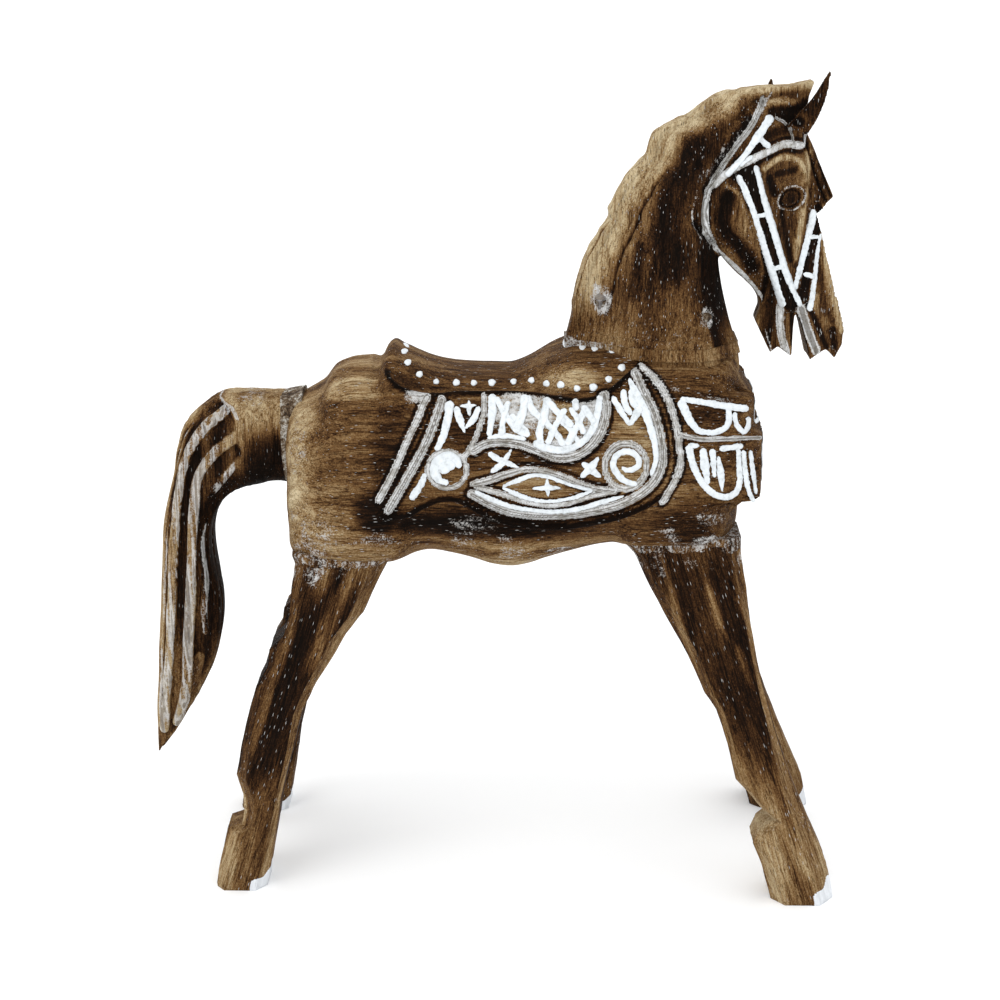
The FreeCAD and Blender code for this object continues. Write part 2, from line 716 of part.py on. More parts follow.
check_document()
os.makedirs("parts", exist_ok=True)
for node in nodes:
    node.Shape.exportStep(f"parts/{node.Label}.step")
box = Part.makeCompound([node.Shape for node in nodes]).BoundBox
print(f"{len(nodes)} nodes; X {box.XMin:.2f} to {box.XMax:.2f}, Y {box.YMin:.2f} to {box.YMax:.2f}, "
      f"Z {box.ZMin:.2f} to {box.ZMax:.2f}")
for node in nodes:
    print(f"{node.Label}: {len(node.Shape.Solids)} solids, {node.Shape.Volume / 1000:.2f} cm3")
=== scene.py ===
"""A standing horse carved from light hardwood, torched dark, whitewashed and painted with white strokes.

Every piece is worked out in millimetres, in the frame's own axes, and put into the scene in metres:
+X towards the muzzle, +Y the horse's left, +Z up. The right side is y below zero.
"""
from functools import reduce

import bpy
import numpy as np
from mathutils import Matrix, Vector


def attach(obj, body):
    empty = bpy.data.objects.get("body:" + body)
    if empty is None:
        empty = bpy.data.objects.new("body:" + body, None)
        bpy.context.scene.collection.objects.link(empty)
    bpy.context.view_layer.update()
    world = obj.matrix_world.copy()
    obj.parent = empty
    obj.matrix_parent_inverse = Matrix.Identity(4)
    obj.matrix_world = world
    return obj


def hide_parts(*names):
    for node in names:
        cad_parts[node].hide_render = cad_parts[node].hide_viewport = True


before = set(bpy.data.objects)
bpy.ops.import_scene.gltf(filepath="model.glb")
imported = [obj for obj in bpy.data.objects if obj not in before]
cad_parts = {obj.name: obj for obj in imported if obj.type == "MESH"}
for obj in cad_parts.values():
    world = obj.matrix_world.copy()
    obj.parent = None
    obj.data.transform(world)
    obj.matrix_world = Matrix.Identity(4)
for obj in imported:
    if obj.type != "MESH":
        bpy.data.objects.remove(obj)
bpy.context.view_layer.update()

# ------------------------------------------------------------------ torso
# One long block of light plantation hardwood with the grain running nose to tail. The saddle, its flap and
# the breast band are cut into it with a V gouge; all of it is torched, brushed and rubbed with whitewash.
# Painted shadow darkens the cuts under the saddle's and the flap's edges, and a painted highlight pales the
# top of the rump and back.

METRE = 0.001


def through(knots, values, at):
    """A smooth curve through given values: a cubic between each two knots, with the mean slope at each.

    Before the first knot and after the last it keeps their values.
    """
    knots, values = np.asarray(knots, float), np.asarray(values, float)
    slope = np.gradient(values, knots, axis=0)
    at = np.asarray(at, float)
    i = np.clip(np.searchsorted(knots, at) - 1, 0, len(knots) - 2)
    step = knots[i + 1] - knots[i]
    t = np.clip((at - knots[i]) / step, 0, 1)
    if values.ndim > 1:
        t, step = t[..., None], step[..., None]
    ease = t * t * (3 - 2 * t)
    leave = t * (1 - t) ** 2 * step * slope[i]
    arrive = t * t * (1 - t) * step * slope[i + 1]
    return values[i] * (1 - ease) + values[i + 1] * ease + leave - arrive


def shaped(table, at):
    """The columns of a table of sections, carried smoothly from one to the next."""
    return through(sorted(table), [table[key] for key in sorted(table)], at).T


def height_of(line, x):
    """How high a drawn line runs at each x."""
    return through(*np.transpose(line), x)


def drawn(points, step=1.0):
    """A line drawn smoothly through given points, as a row of points about one step apart."""
    points = np.asarray(points, float)
    run = np.r_[0, np.cumsum(np.linalg.norm(np.diff(points, axis=0), axis=1))]
    return through(run, points, np.linspace(0, run[-1], max(2, int(run[-1] / step))))


def away(x, z, line, reach=16.0):
    """How far each place lies from a drawn line: the least distance to its straight runs, within reach."""
    best = np.full(x.shape, 1e6)
    near = (x > line[:, 0].min() - reach) & (x < line[:, 0].max() + reach)
    near &= (z > line[:, 1].min() - reach) & (z < line[:, 1].max() + reach)
    px, pz, least = x[near], z[near], best[near]
    for a, b in zip(line[:-1], line[1:]):
        run = b - a
        t = np.clip(((px - a[0]) * run[0] + (pz - a[1]) * run[1]) / max(run @ run, 1e-9), 0, 1)
        least = np.minimum(least, (px - a[0] - t * run[0]) ** 2 + (pz - a[1] - t * run[1]) ** 2)
    best[near] = least
    return np.sqrt(best)


def rise(value, low, high):
    """Goes smoothly from 0 at low to 1 at high."""
    t = np.clip((value - low) / (high - low), 0, 1)
    return t * t * (3 - 2 * t)


def bell(value, middle, width):
    """1 at the middle, falling away on both sides as the exponential of minus the distance squared."""
    return np.exp(-((value - middle) / width) ** 2)


def most(*fields):
    """The greatest of several fields at each place."""
    return reduce(np.maximum, fields)


def patch(x, z, cx, cz, rx, rz):
    """A soft round patch: 1 in the middle of an ellipse and 0 outside it."""
    return 1 - rise(np.hypot((x - cx) / rx, (z - cz) / rz), 0.35, 1.0)


def patches(x, z, rows):
    """The strongest of several soft round patches, each a strength, a middle and two radii."""
    return most(*[strength * patch(x, z, *where) for strength, *where in rows])


def lumps(p, size, seed):
    """Random lumps about one size across, from -1 to 1: random heights on a lattice, blended smoothly."""
    table = np.random.default_rng(seed).uniform(-1, 1, 4096)
    q = p / size
    cell = np.floor(q).astype(np.int64)
    f = q - cell
    f = f * f * (3 - 2 * f)
    total = 0.0
    for corner in np.ndindex(2, 2, 2):
        c = cell + corner
        key = (c[..., 0] * 73856093 ^ c[..., 1] * 19349663 ^ c[..., 2] * 83492791) & 4095
        weight = np.prod(np.where(corner, f, 1 - f), axis=-1)
        total = total + table[key] * weight
    return total


def skin(rows):
    """The outward direction at each point of a grid: across its two directions of travel at once."""
    along = np.gradient(rows, axis=0)
    around = np.roll(rows, -1, axis=1) - np.roll(rows, 1, axis=1)
    out = np.cross(around, along)
    return out / np.maximum(np.linalg.norm(out, axis=2, keepdims=True), 1e-9)


def rings_to_quads(count, around):
    """The four corners of each face between rings of points that follow one another."""
    i, j = np.meshgrid(np.arange(count - 1), np.arange(around), indexing="ij")
    a, b = i * around + j, i * around + (j + 1) % around
    return np.stack([a, a + around, b + around, b], axis=-1).reshape(-1, 4)


def block(name, rows, finish, material):
    """Makes a closed carved piece from rings of points, a fan at each end, and stores its finish per point.

    finish holds whitewash, char, bare tan wood and white paint, each from 0 to 1; in places the char also
    holds painted shade and the tan painted highlights.
    """
    count, around = rows.shape[:2]
    first, last = count * around, (count - 1) * around
    j = np.arange(around)
    low = np.stack([np.full(around, first), j, (j + 1) % around], axis=1)
    high = np.stack([np.full(around, first + 1), last + (j + 1) % around, last + j], axis=1)
    points = np.concatenate([rows.reshape(-1, 3), [rows[0].mean(0), rows[-1].mean(0)]]) * METRE
    mesh = bpy.data.meshes.new(name)
    mesh.from_pydata(points, [], rings_to_quads(count, around).tolist() + low.tolist() + high.tolist())
    caps = [finish[0].mean(0), finish[-1].mean(0)]
    return finished(name, mesh, np.concatenate([finish.reshape(-1, 4), caps]), material)


def placed(name, data):
    """A new object in the scene."""
    piece = bpy.data.objects.new(name, data)
    bpy.context.scene.collection.objects.link(piece)
    return piece


def finished(name, mesh, finish, material):
    """Turns a mesh into a smooth-shaded piece that carries its finish and material."""
    layer = mesh.attributes.new("finish", "FLOAT_COLOR", "POINT")
    layer.data.foreach_set("color", np.clip(finish, 0, 1).astype(np.float32).ravel())
    mesh.shade_smooth()
    mesh.materials.append(material)
    return placed(name, mesh)


class Value:
    """What a shader node gives out. Plus, minus and times on it add the nodes that work the sum out."""

    def __init__(self, node, output=0):
        self.node, self.output, self.tree = node, output, node.id_data

    def __getitem__(self, output):
        return Value(self.node, output)

    def math(self, operation, *others):
        """One sum on this value, and on one other where the sum needs it."""
        return add(self.tree, "ShaderNodeMath", dict(enumerate((self, *others))), operation=operation)

    def __add__(self, other):
        return self.math("ADD", other)

    def __sub__(self, other):
        return self.math("SUBTRACT", other)

    def __mul__(self, other):
        return self.math("MULTIPLY", other)


def add(tree, kind, sockets=None, **settings):
    """Adds one shader node: sets its properties, then fills its sockets with plain values or other nodes'."""
    node = tree.nodes.new(kind)
    for key, value in settings.items():
        setattr(node, key, value)
    for key, value in (sockets or {}).items():
        if isinstance(value, Value):
            tree.links.new(value.node.outputs[value.output], node.inputs[key])
        else:
            node.inputs[key].default_value = value
    return Value(node)


def blended(share, first, second):
    """One colour laid over another, by a share from 0 to 1."""
    colours = {0: share, 6: first, 7: second}
    return add(share.tree, "ShaderNodeMix", colours, data_type="RGBA", clamp_factor=True)[2]


def speckle(place, scale, detail=3.0, rough=0.55, twist=0.0):
    """Random cloudy values from 0 to 1 about a place."""
    sockets = {"Vector": place, "Scale": scale, "Detail": detail, "Roughness": rough, "Distortion": twist}
    return add(place.tree, "ShaderNodeTexNoise", sockets)["Fac"]


def step_up(value, low, high):
    """Goes from 0 to 1 as a value goes from low to high, which may be the lower of the two."""
    sockets = {"Value": value, "From Min": low, "From Max": high}
    return add(value.tree, "ShaderNodeMapRange", sockets, interpolation_type="SMOOTHSTEP")["Result"]


def stretched(place, share):
    """The same places with their patterns drawn out along Z, as grain is."""
    return add(place.tree, "ShaderNodeMapping", {"Vector": place, "Scale": (1, 1, share)})


def tones(value, stops):
    """A row of colours, each at its place from 0 to 1."""
    colours = add(value.tree, "ShaderNodeValToRGB", {"Fac": value})
    ramp = colours.node.color_ramp
    while len(ramp.elements) < len(stops):
        ramp.elements.new(0.5)
    for element, (place, colour) in zip(ramp.elements, stops):
        element.position, element.color = place, (*colour, 1)
    return colours["Color"]


def begun(name):
    """A new material without nodes but one, which gives each place on the piece."""
    material = bpy.data.materials.new(name)
    material.use_nodes = True
    material.node_tree.nodes.clear()
    return material, add(material.node_tree, "ShaderNodeTexCoord")["Object"]


def surfaced(material, colour, rough, height, strength, depth, others=None):
    """Gives a material its colour, roughness and bumps, whose depth is in millimetres."""
    tree = material.node_tree
    bump = add(tree, "ShaderNodeBump", {"Height": height, "Strength": strength, "Distance": depth * METRE})
    sockets = {"Base Color": colour, "Roughness": rough, "Normal": bump, **(others or {})}
    add(tree, "ShaderNodeOutputMaterial", {"Surface": add(tree, "ShaderNodeBsdfPrincipled", sockets)})
    return material


def torched_wood(name, tilt=(0.0, 0.0, 0.0), lightness=0.0, flecks=1.0, wash_cover=0.93):
    """Hardwood burnt with a torch, brushed along the grain, rubbed with whitewash that stays in the pores.

    The grain runs along Z after the tilt. The piece's own finish says where wash, char, bare wood and
    paint lie; in places its char is painted shade and its bare wood a painted highlight.
    """
    material, place = begun(name)
    tree = material.node_tree
    turned = add(tree, "ShaderNodeMapping", {"Vector": place, "Rotation": tilt})
    grain, brushed_way = stretched(turned, 0.055), stretched(turned, 0.11)
    finish = add(tree, "ShaderNodeAttribute", attribute_name="finish", attribute_type="GEOMETRY")
    layers = add(tree, "ShaderNodeSeparateColor", {"Color": finish["Color"]})
    wash, char, tan, paint = layers[0], layers[1], layers[2], finish["Alpha"]

    lines, rings = speckle(grain, 1300, 4, 0.80), speckle(grain, 260, 6, 0.74, 0.6)
    veins, clouds = speckle(grain, 480, 3, 0.6, 0.3), speckle(brushed_way, 70, 6, 0.62, 0.5)
    grit, blots = speckle(place, 1300, 2, 0.6), speckle(place, 420, 6, 0.72)
    drag = speckle(stretched(turned, 0.2), 330, 6, 0.7, 0.4)

    scorch = step_up(rings, 0.56, 0.64) * step_up(tan, 0.8, 0.2)
    crack = step_up(lines, 0.565, 0.60) * step_up(rings, 0.42, 0.52)
    vein = step_up((veins - 0.5).math("ABSOLUTE"), 0.032, 0.004)
    brushed_line = step_up(lines, 0.44, 0.40) * step_up(clouds, 0.44, 0.54)
    tone = clouds * 0.85 + rings * 0.9 + lines * 1.2 + grit * 0.44 + (lightness - 1.275)
    tone = tone + tan * 0.43 - char * 0.46 - scorch * 0.16 - crack * 0.28 - vein * 0.17 + brushed_line * 0.20
    wood = tones(tone, [
        (0.00, (0.004, 0.002, 0.001)), (0.17, (0.018, 0.007, 0.0025)), (0.32, (0.062, 0.027, 0.009)),
        (0.48, (0.155, 0.080, 0.029)), (0.63, (0.285, 0.184, 0.085)), (0.80, (0.47, 0.365, 0.215)),
        (1.00, (0.66, 0.55, 0.36)),
    ])

    pores = add(tree, "ShaderNodeTexVoronoi", {
        "Vector": stretched(turned, 0.12), "Scale": 1250.0, "Randomness": 1.0})
    chance = add(tree, "ShaderNodeSeparateColor", {"Color": pores["Color"]})
    open_pore = step_up(pores["Distance"], 0.20, 0.08) * step_up(chance, 0.50, 0.55)
    dark_pore = step_up(pores["Distance"], 0.28, 0.14) * step_up(chance, 0.46, 0.40)
    wood = blended(dark_pore * 0.8, wood, (0.02, 0.010, 0.005, 1))
    wood = blended(open_pore * step_up(clouds, 0.64, 0.46) * flecks, wood, (0.72, 0.72, 0.70, 1))

    chalk = tones(blots * 0.5 + drag * 0.5, [
        (0.34, (0.26, 0.24, 0.20)), (0.44, (0.50, 0.49, 0.46)), (0.53, (0.76, 0.77, 0.77)),
        (0.64, (0.90, 0.92, 0.94)),
    ])
    strands = (wash * 46.0 + drag * 5.0).math("SINE")
    in_cut = step_up(wash, 0.68, 0.74) * step_up(strands, 0.1, 0.8)
    chalk = blended(in_cut * 0.72, chalk, (0.10, 0.085, 0.065, 1))
    chalk = blended(step_up(grit, 0.60, 0.68) * 0.6, chalk, (0.05, 0.035, 0.02, 1))
    chalk = blended(step_up(wash, 0.80, 0.15), chalk, (0.24, 0.20, 0.155, 1))
    held = wash * 1.6 + drag * 1.1 + blots * 0.72 + grit * 0.98 - 2.18
    wood = blended(step_up(held, 0.0, 0.26) * wash_cover, wood, chalk)
    wood = blended(step_up(paint - grit * 0.25, 0.30, 0.42), wood, (0.83, 0.86, 0.90, 1))

    rough = wash * 0.2 + lines * 0.25 + 0.52
    knife = add(tree, "ShaderNodeTexVoronoi", {"Vector": brushed_way, "Scale": 120.0}, feature="SMOOTH_F1")
    relief = lines * 0.7 + rings * 0.8 + knife["Distance"] * 0.7 - vein * 0.35 - open_pore * 0.4
    relief = relief + blots * (wash * 1.4 + 0.3)
    return surfaced(material, wood, rough, relief, 0.85, 0.8, {"Specular IOR Level": 0.05})


# At each place along the block: underside, top, half width and squareness of the rounded section.
TORSO_SHAPE = {
    -99.0: (166, 238.6, 30, 2.8), -95.0: (164, 240.6, 35, 3.0), -90.0: (163.5, 242.5, 39, 3.2),
    -85.0: (163.5, 245.2, 42, 3.3), -80.5: (163.5, 248.2, 44, 3.4), -76.0: (163.5, 254.2, 45, 3.4),
    -70.0: (163.5, 257.4, 46, 3.4), -58.0: (163.5, 259, 47, 3.4), -52.0: (164, 259.4, 47, 3.4),
    -49.6: (164, 264.5, 47, 3.4), -47.0: (164, 267.2, 47, 3.4), -42.0: (164.5, 265.2, 47, 3.4),
    -37.0: (165.5, 262.9, 46.5, 3.4), -28.0: (167.5, 259.2, 46.5, 3.4), -18.0: (166, 256.9, 46.5, 3.4),
    -8.0: (163.5, 256.1, 46.5, 3.4), 3.0: (160, 255.9, 46.5, 3.4), 13.0: (159, 256.4, 46.5, 3.4),
    20.0: (160.3, 259.4, 46.5, 3.4), 28.0: (163, 263.9, 46.5, 3.4), 38.0: (166.5, 267.6, 47, 3.5),
    56.0: (171.5, 268.8, 47.5, 3.6), 76.0: (173.5, 268.8, 47.5, 3.6), 96.0: (173.5, 268, 46.5, 3.6),
    110.0: (173.5, 267, 45, 3.7), 122.0: (174, 266, 43, 3.8), 130.0: (174.5, 265.6, 40.5, 3.8),
    137.0: (175, 265.2, 38, 3.8),
}
# Height against the chest's foremost reach: plain above and below, and the breast band's two rows step out.
CHEST_FRONT = [(160, 120), (176, 122.5), (196.8, 124.6), (199, 133.6), (230.6, 134.0), (233, 129.6),
               (249, 129.2), (251.4, 124.8), (258, 121.8), (268, 119.4)]
END_ROUNDING = 5.0
NOSE_OF_TORSO = 135.6
TAIL_OF_TORSO = -98.0
CHEST_FROM = 104

# The cuts on each flank, as drawn from the side: where they run, how wide and how deep.
SADDLE_EDGE = [(-50, 270), (-47.5, 264), (-44, 259.5), (-39, 256.4), (-33, 254.6), (-24, 254.2),
               (-14, 255.2), (0, 255.2), (12, 255.4), (25, 254.4), (36, 252.4), (45, 251.4), (52.5, 253),
               (59.5, 257.3), (66, 263.4), (73, 269.5)]
REAR_STRAP_BACK = [(-28.5, 251), (-29.8, 248.5), (-32.7, 240.4), (-36.6, 232), (-41.4, 220.5),
                   (-46.5, 209.6), (-51.5, 200.5)]
REAR_STRAP_FRONT = [(-21.5, 250), (-24.3, 240.4), (-27.6, 231.1), (-32.3, 221.4), (-38.5, 210.2),
                    (-43.6, 201), (-47, 195)]
FLAP_FRONT = [(70.5, 263.5), (74.4, 254), (78.3, 246), (81.3, 237), (83.2, 227), (83.2, 218.5), (80, 210.5),
              (73.5, 204), (65, 199.2), (51.5, 195.2), (37, 193), (25, 192.8), (10, 195), (1, 199),
              (-7, 203.6)]
GIRTH_EDGE = [(73.4, 267.5), (78.6, 262), (83, 255.9), (86.6, 248.5), (89.6, 238.3), (91.6, 227),
              (92.4, 219), (89.7, 209.5), (84, 200.5)]
UNDER_FLAP = [(83, 203), (76, 198.3), (66, 193.6), (49, 189.4), (36, 187.6), (22, 187.8), (10, 189.8),
              (0, 193), (-8, 198), (-14, 200.6), (-22, 200.8), (-29.5, 198), (-37, 193.6), (-48, 191)]
LATTICE_BACK = [(-1.6, 252), (-1.2, 245), (-3, 238), (-4.8, 232), (-7.6, 226.6), (-11, 221)]
LATTICE_FLOOR = [(-6.5, 225), (0, 228.6), (8, 229.4), (17, 228), (25, 224.8), (32, 221.9), (40, 222),
                 (47.5, 225.6), (53, 232), (56, 240), (56.6, 247), (55.5, 253)]
LEAF_TOP = [(-6, 208.4), (2, 210.6), (10, 213.6), (19, 215.8), (28, 215.2), (35.5, 212.9), (43, 209.6),
            (51, 206.8), (61, 205.4)]
LEAF_FOOT = [(-4, 206.8), (6, 204), (15, 201), (25, 198.4), (31, 198), (40, 199.6), (50, 202.8), (60, 205)]
BREAST_TOP = [(84.5, 256.5), (94, 252.8), (102, 251), (112, 249.6), (124, 249), (136, 248)]
BREAST_STEP = [(91.5, 233.4), (98.5, 231.7), (107, 231.2), (114, 231.4), (125, 232), (138, 232)]
BREAST_FOOT = [(83.5, 198.2), (92, 200.4), (99, 200.8), (114, 198.8), (124, 198.6), (138, 198)]
REAR_SPIRAL = (-18.7, 215.6)
FRONT_SPIRAL = (66.2, 217.8)
# Where the brush left its finish: strength, middle and radii of each soft patch.
FLANK_WASH = [
    (0.45, 70, 262, 34, 10), (0.62, -34, 252, 9, 8), (0.50, -88, 180, 32, 34), (0.52, -52, 174, 34, 18),
    (0.50, -6, 184, 34, 18), (0.52, 36, 172, 70, 15), (0.54, 104, 184, 36, 22), (0.46, -94, 225, 16, 34),
    (0.40, -62, 252, 26, 12), (0.34, 106, 258, 30, 10),
]
FLANK_CHAR = [
    (0.08, -70, 228, 24, 28), (0.60, -52, 194, 15, 16), (0.30, -46, 226, 14, 30), (0.40, -6, 238, 20, 15),
    (0.34, 98, 190, 24, 16), (0.30, -30, 260, 26, 8),
]
FLANK_TAN = [
    (0.20, -66, 232, 24, 34), (0.62, 68, 224, 19, 34), (0.62, 40, 262, 20, 9), (0.45, 20, 208, 34, 12),
    (0.55, -84, 184, 42, 30), (0.35, 88, 224, 8, 40),
]


def cut(x, z, line, width, depth):
    """A V-shaped cut along a drawn line: deepest on the line, level with the wood at half its width."""
    return -depth * np.clip(1 - away(x, z, drawn(line)) / (width / 2), 0, 1)


def ring_cut(x, z, centre, radius, width, depth, tall=1.0):
    """A V-shaped cut round a circle, stretched upright by tall."""
    gap = np.abs(np.hypot(x - centre[0], (z - centre[1]) / tall) - radius)
    return -depth * np.clip(1 - gap / (width / 2), 0, 1)


def flank(x, z):
    """One flank's carving: its height above the smooth block, and how much wash, char and tan it takes; the
    char holds painted shadow under the saddle's and flap's edges, the tan a painted highlight on the rump's
    top.
    """
    pale = np.minimum.reduce([
        cut(x, z, REAR_STRAP_BACK, 4.6, 1.3), cut(x, z, REAR_STRAP_FRONT, 5.0, 1.9),
        cut(x, z, FLAP_FRONT, 5.2, 1.9), cut(x, z, GIRTH_EDGE, 4.0, 1.5), cut(x, z, LATTICE_BACK, 3.6, 1.3),
        cut(x, z, LATTICE_FLOOR, 5.0, 1.9), cut(x, z, LEAF_TOP, 4.0, 1.7), cut(x, z, LEAF_FOOT, 3.8, 1.4),
        ring_cut(x, z, REAR_SPIRAL, 9.2, 3.4, 1.3), ring_cut(x, z, FRONT_SPIRAL, 9.9, 4.0, 1.6, 1.12),
        cut(x, z, BREAST_STEP, 3.4, 1.8),
    ])
    uncut = 1 - rise(-pale, 0.1, 0.4)
    # The cuts under the saddle's edge and under the flap's edge: their floors are painted dark as the shadow
    # line beneath each edge.
    burnt = np.minimum(cut(x, z, UNDER_FLAP, 3.4, 2.4), cut(x, z, np.array(SADDLE_EDGE) - (0, 1.7), 3.4, 2.2))
    edge = height_of(SADDLE_EDGE, x)
    saddle = rise(z - edge, -0.4, 1.0) * rise(x, -50.2, -48.8) * (1 - rise(x, 74, 78))
    saddle *= 1 - 0.9 * rise(z - edge, 2, 22)
    top, foot = height_of(BREAST_TOP, x), height_of(BREAST_FOOT, x)
    breast = rise(x, 86, 90) * rise(top - z, -0.5, 0.8) * rise(z - foot, -0.5, 0.8)
    lower_row = breast * rise(232 - z, -0.5, 1.5) * (1 - 0.75 * rise(232 - z, 20, 2))
    under = through([-48, -22, -8, 10, 36, 66, 84], [191, 200.8, 198, 189.8, 187.6, 193.6, 204], x)
    flap = rise(z - under, -0.6, 0.8) * rise(x, -54, -48) * (1 - rise(x, 86, 92))
    height = 1.5 * saddle + 1.0 * breast + 1.1 * lower_row + 1.1 * flap + np.minimum(pale, burnt)

    smeared = np.minimum.reduce([cut(x, z, line, 13.0, 1.0) for line in (
        REAR_STRAP_FRONT, FLAP_FRONT, GIRTH_EDGE, LATTICE_FLOOR, LEAF_TOP)])
    floor = np.interp(x, *np.transpose(LATTICE_FLOOR[:10]))
    lattice = rise(edge - z, 0.5, 3) * rise(z - floor, 0, 2) * rise(x, -3, 2) * (1 - rise(x, 52, 56))
    wash = most(
        rise(-pale, 0.02, 0.3) * 0.70 + 0.30 * np.clip(-pale / 1.9, 0, 1),
        0.50 * rise(-smeared, 0.1, 0.9),
        lattice * (0.66 + 0.12 * lumps(np.stack([x, 0.5 * z, 0 * x], axis=-1), 3.2, 53)),
        0.55 * bell(z, top + 1.2, 2.5) * rise(x, 84, 88),
        0.62 * rise(-cut(x, z, GIRTH_EDGE, 9.0, 1.0), 0.3, 0.9) * rise(x, 86, 94),
        patches(x, z, FLANK_WASH))
    worn = rise(lumps(np.stack([0.5 * x, z, 0 * x], axis=-1), 6.0, 52), -0.2, 0.7)
    wash *= 1 - 0.45 * worn * (1 - rise(-pale, 0.1, 0.5))

    beside = np.minimum.reduce([np.abs(away(x, z, drawn(line)) - gap) for line, gap in (
        (FLAP_FRONT, 3.2), (LATTICE_FLOOR, 3.1), (LEAF_TOP, 2.6), (LEAF_FOOT, 2.4), (REAR_STRAP_FRONT, 3.2),
        (REAR_STRAP_BACK, 2.7), (GIRTH_EDGE, 2.3))])
    # painted shadow: the floors of the cuts under the saddle's and flap's edges go dark
    char = most(rise(-burnt, 0.3, 1.2), 0.85 * (1 - rise(beside, 0.3, 1.0)) * uncut,
                0.80 * patch(x, z, 0, 188, 62, 9) * uncut, patches(x, z, FLANK_CHAR))
    char *= 1 - 0.8 * rise(wash, 0.6, 0.85)
    cantle = bell(x, 0.10 * (268 - z) - 50.0, 1.4) * rise(z, 257, 262)
    wash = most(wash, 0.6 * cantle)

    tan = most(
        # painted highlight: the top of the rump is painted pale, as lit from above
        0.85 * rise(z, 245, 258) * (1 - rise(x, -56, -48)) * rise(x, -100, -80),
        0.80 * (1 - rise(x - 0.12 * (z - 200), -96, -78)),
        0.55 * lattice, 0.78 * (1 - rise(z, 163, 186)), patches(x, z, FLANK_TAN))
    return height, wash, char, tan * (1 - char)


def torso():
    """Rings of a superellipse, |y/a|^n + |z/b|^n = 1, carried along the block and rounded in at both ends.

    Each point then moves along its own outward direction by the flank's carving and by small hand-cut lumps.
    """
    swing = np.linspace(0, np.pi / 2, 7)
    inset = END_ROUNDING * (1 - np.cos(swing))
    front = NOSE_OF_TORSO - END_ROUNDING + END_ROUNDING * np.sin(swing)
    back = (TAIL_OF_TORSO + END_ROUNDING - END_ROUNDING * np.sin(swing))[::-1]
    middle = np.linspace(back[-1], front[0], 218)[1:-1]
    cap = np.array([0.05, 0.35, 0.65, 0.9])
    along = np.concatenate([np.repeat(back[0], 4), back, middle, front, np.repeat(front[-1], 4)])
    full = np.full(4, END_ROUNDING)
    shrink = np.concatenate([full, inset[::-1], np.zeros(len(middle)), inset, full])[:, None]
    share = np.concatenate([cap, np.ones(len(along) - 8), cap[::-1]])[:, None]
    low, high, half, square = shaped(TORSO_SHAPE, along)[:, :, None]
    centre = (low + high) / 2
    deep = ((high - low) / 2 - shrink) * share
    half = (half - shrink) * share
    turn = np.linspace(0, 2 * np.pi, 410, endpoint=False)[None, :]
    square = square * (1 - 0.25 * rise(np.sin(turn), 0.0, 0.35) * (1 - rise(along, 22, 40))[:, None])
    seat = 1 - rise(along, -52, -34) + rise(along, 60, 76)
    square = square * (1 + 0.9 * rise(-np.sin(turn), 0.1, 0.5) * seat[:, None])
    radius = (np.abs(np.cos(turn) / half) ** square + np.abs(np.sin(turn) / deep) ** square) ** (-1 / square)
    x, y, z = along[:, None] + 0 * radius, -radius * np.cos(turn), centre + radius * np.sin(turn)
    banded = rise(z, 197, 199) * (1 - rise(z, 250, 251.5))
    reach = np.interp(z, *np.transpose(CHEST_FRONT)) - (11 - 8 * banded) * (np.abs(y) / 40) ** 2.2
    share = np.clip((x - CHEST_FROM) / (NOSE_OF_TORSO - CHEST_FROM), 0, None)
    x = np.where(share > 0, CHEST_FROM + share * (reach - CHEST_FROM), x)
    rows = np.stack([x, y, z], axis=2)
    out = skin(rows)
    facing = rise(np.abs(out[..., 1]), 0.15, 0.55)
    height, wash, char, tan = flank(x, z + 0.25 * (46.5 - np.abs(y)))
    lump = 0.5 * lumps(rows * (0.5, 1, 1), 13.0, 3) + 0.22 * lumps(rows * (0.4, 1, 1), 4.5, 5)
    plain = 1 - 0.75 * rise(x, -50, -45) * (1 - rise(x, 84, 92))
    rows = rows + out * (height * facing + lump * plain + 0.12 * lumps(rows * (0.3, 1, 1), 2.0, 6))[..., None]
    # Painted highlight: the upward-facing top of the back, from the saddle rearwards, is painted paler, as
    # lit from above.
    top = rise(out[..., 2], 0.5, 0.9)
    tan = most(tan * (0.3 + 0.7 * facing), 0.35 * top * (1 - rise(rows[..., 0], 30, 50)))
    finish = np.stack([wash * (0.25 + 0.75 * facing), char * facing, tan, np.zeros_like(tan)], axis=2)
    return block("carved_torso", rows, finish, torched_wood("torso_wood", tilt=(0, np.pi / 2, 0)))


torso_piece = torso()
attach(torso_piece, "root")
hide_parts("torso")

# ------------------------------------------------------------------ neck and head
# One upright block glued to the torso, grain upright. The mane, forelock, ears, bridle and eyes are carved
# from it, then torched darkest in the hollows, and the mane's edge is rubbed back to bare wood.

# At each height of the neck: mane edge, throat edge, half width, half width of the mane.
NECK_SHAPE = {
    256.0: (40, 122, 34, 11), 262.0: (39, 121.6, 34, 11), 266.0: (37.8, 121, 33.6, 10.5),
    270.0: (37.8, 120.2, 33, 10.5), 276.0: (38.8, 118.2, 31.5, 10), 291.0: (41.9, 114.2, 28, 9),
    309.5: (47.1, 110.6, 25.5, 8.5), 322.5: (53.9, 110.2, 24, 8), 330.0: (57.6, 110.4, 23, 7.8),
    333.0: (57.0, 110.6, 22.5, 7.6), 337.0: (58.8, 111, 22, 7.4), 343.0: (61.7, 111.5, 21.5, 7.2),
    353.5: (68.9, 112.5, 20, 6.8), 358.0: (74.4, 113, 19, 6.6), 362.0: (75.6, 114, 18.5, 6.5),
    366.5: (76.8, 115, 17.5, 6.4), 371.0: (79.5, 117, 16.5, 6.3), 377.0: (92.0, 120, 14.5, 6.2),
    383.5: (102, 126, 12, 6), 387.4: (107.5, 131, 10, 5.5), 390.0: (117, 136, 7, 5),
}
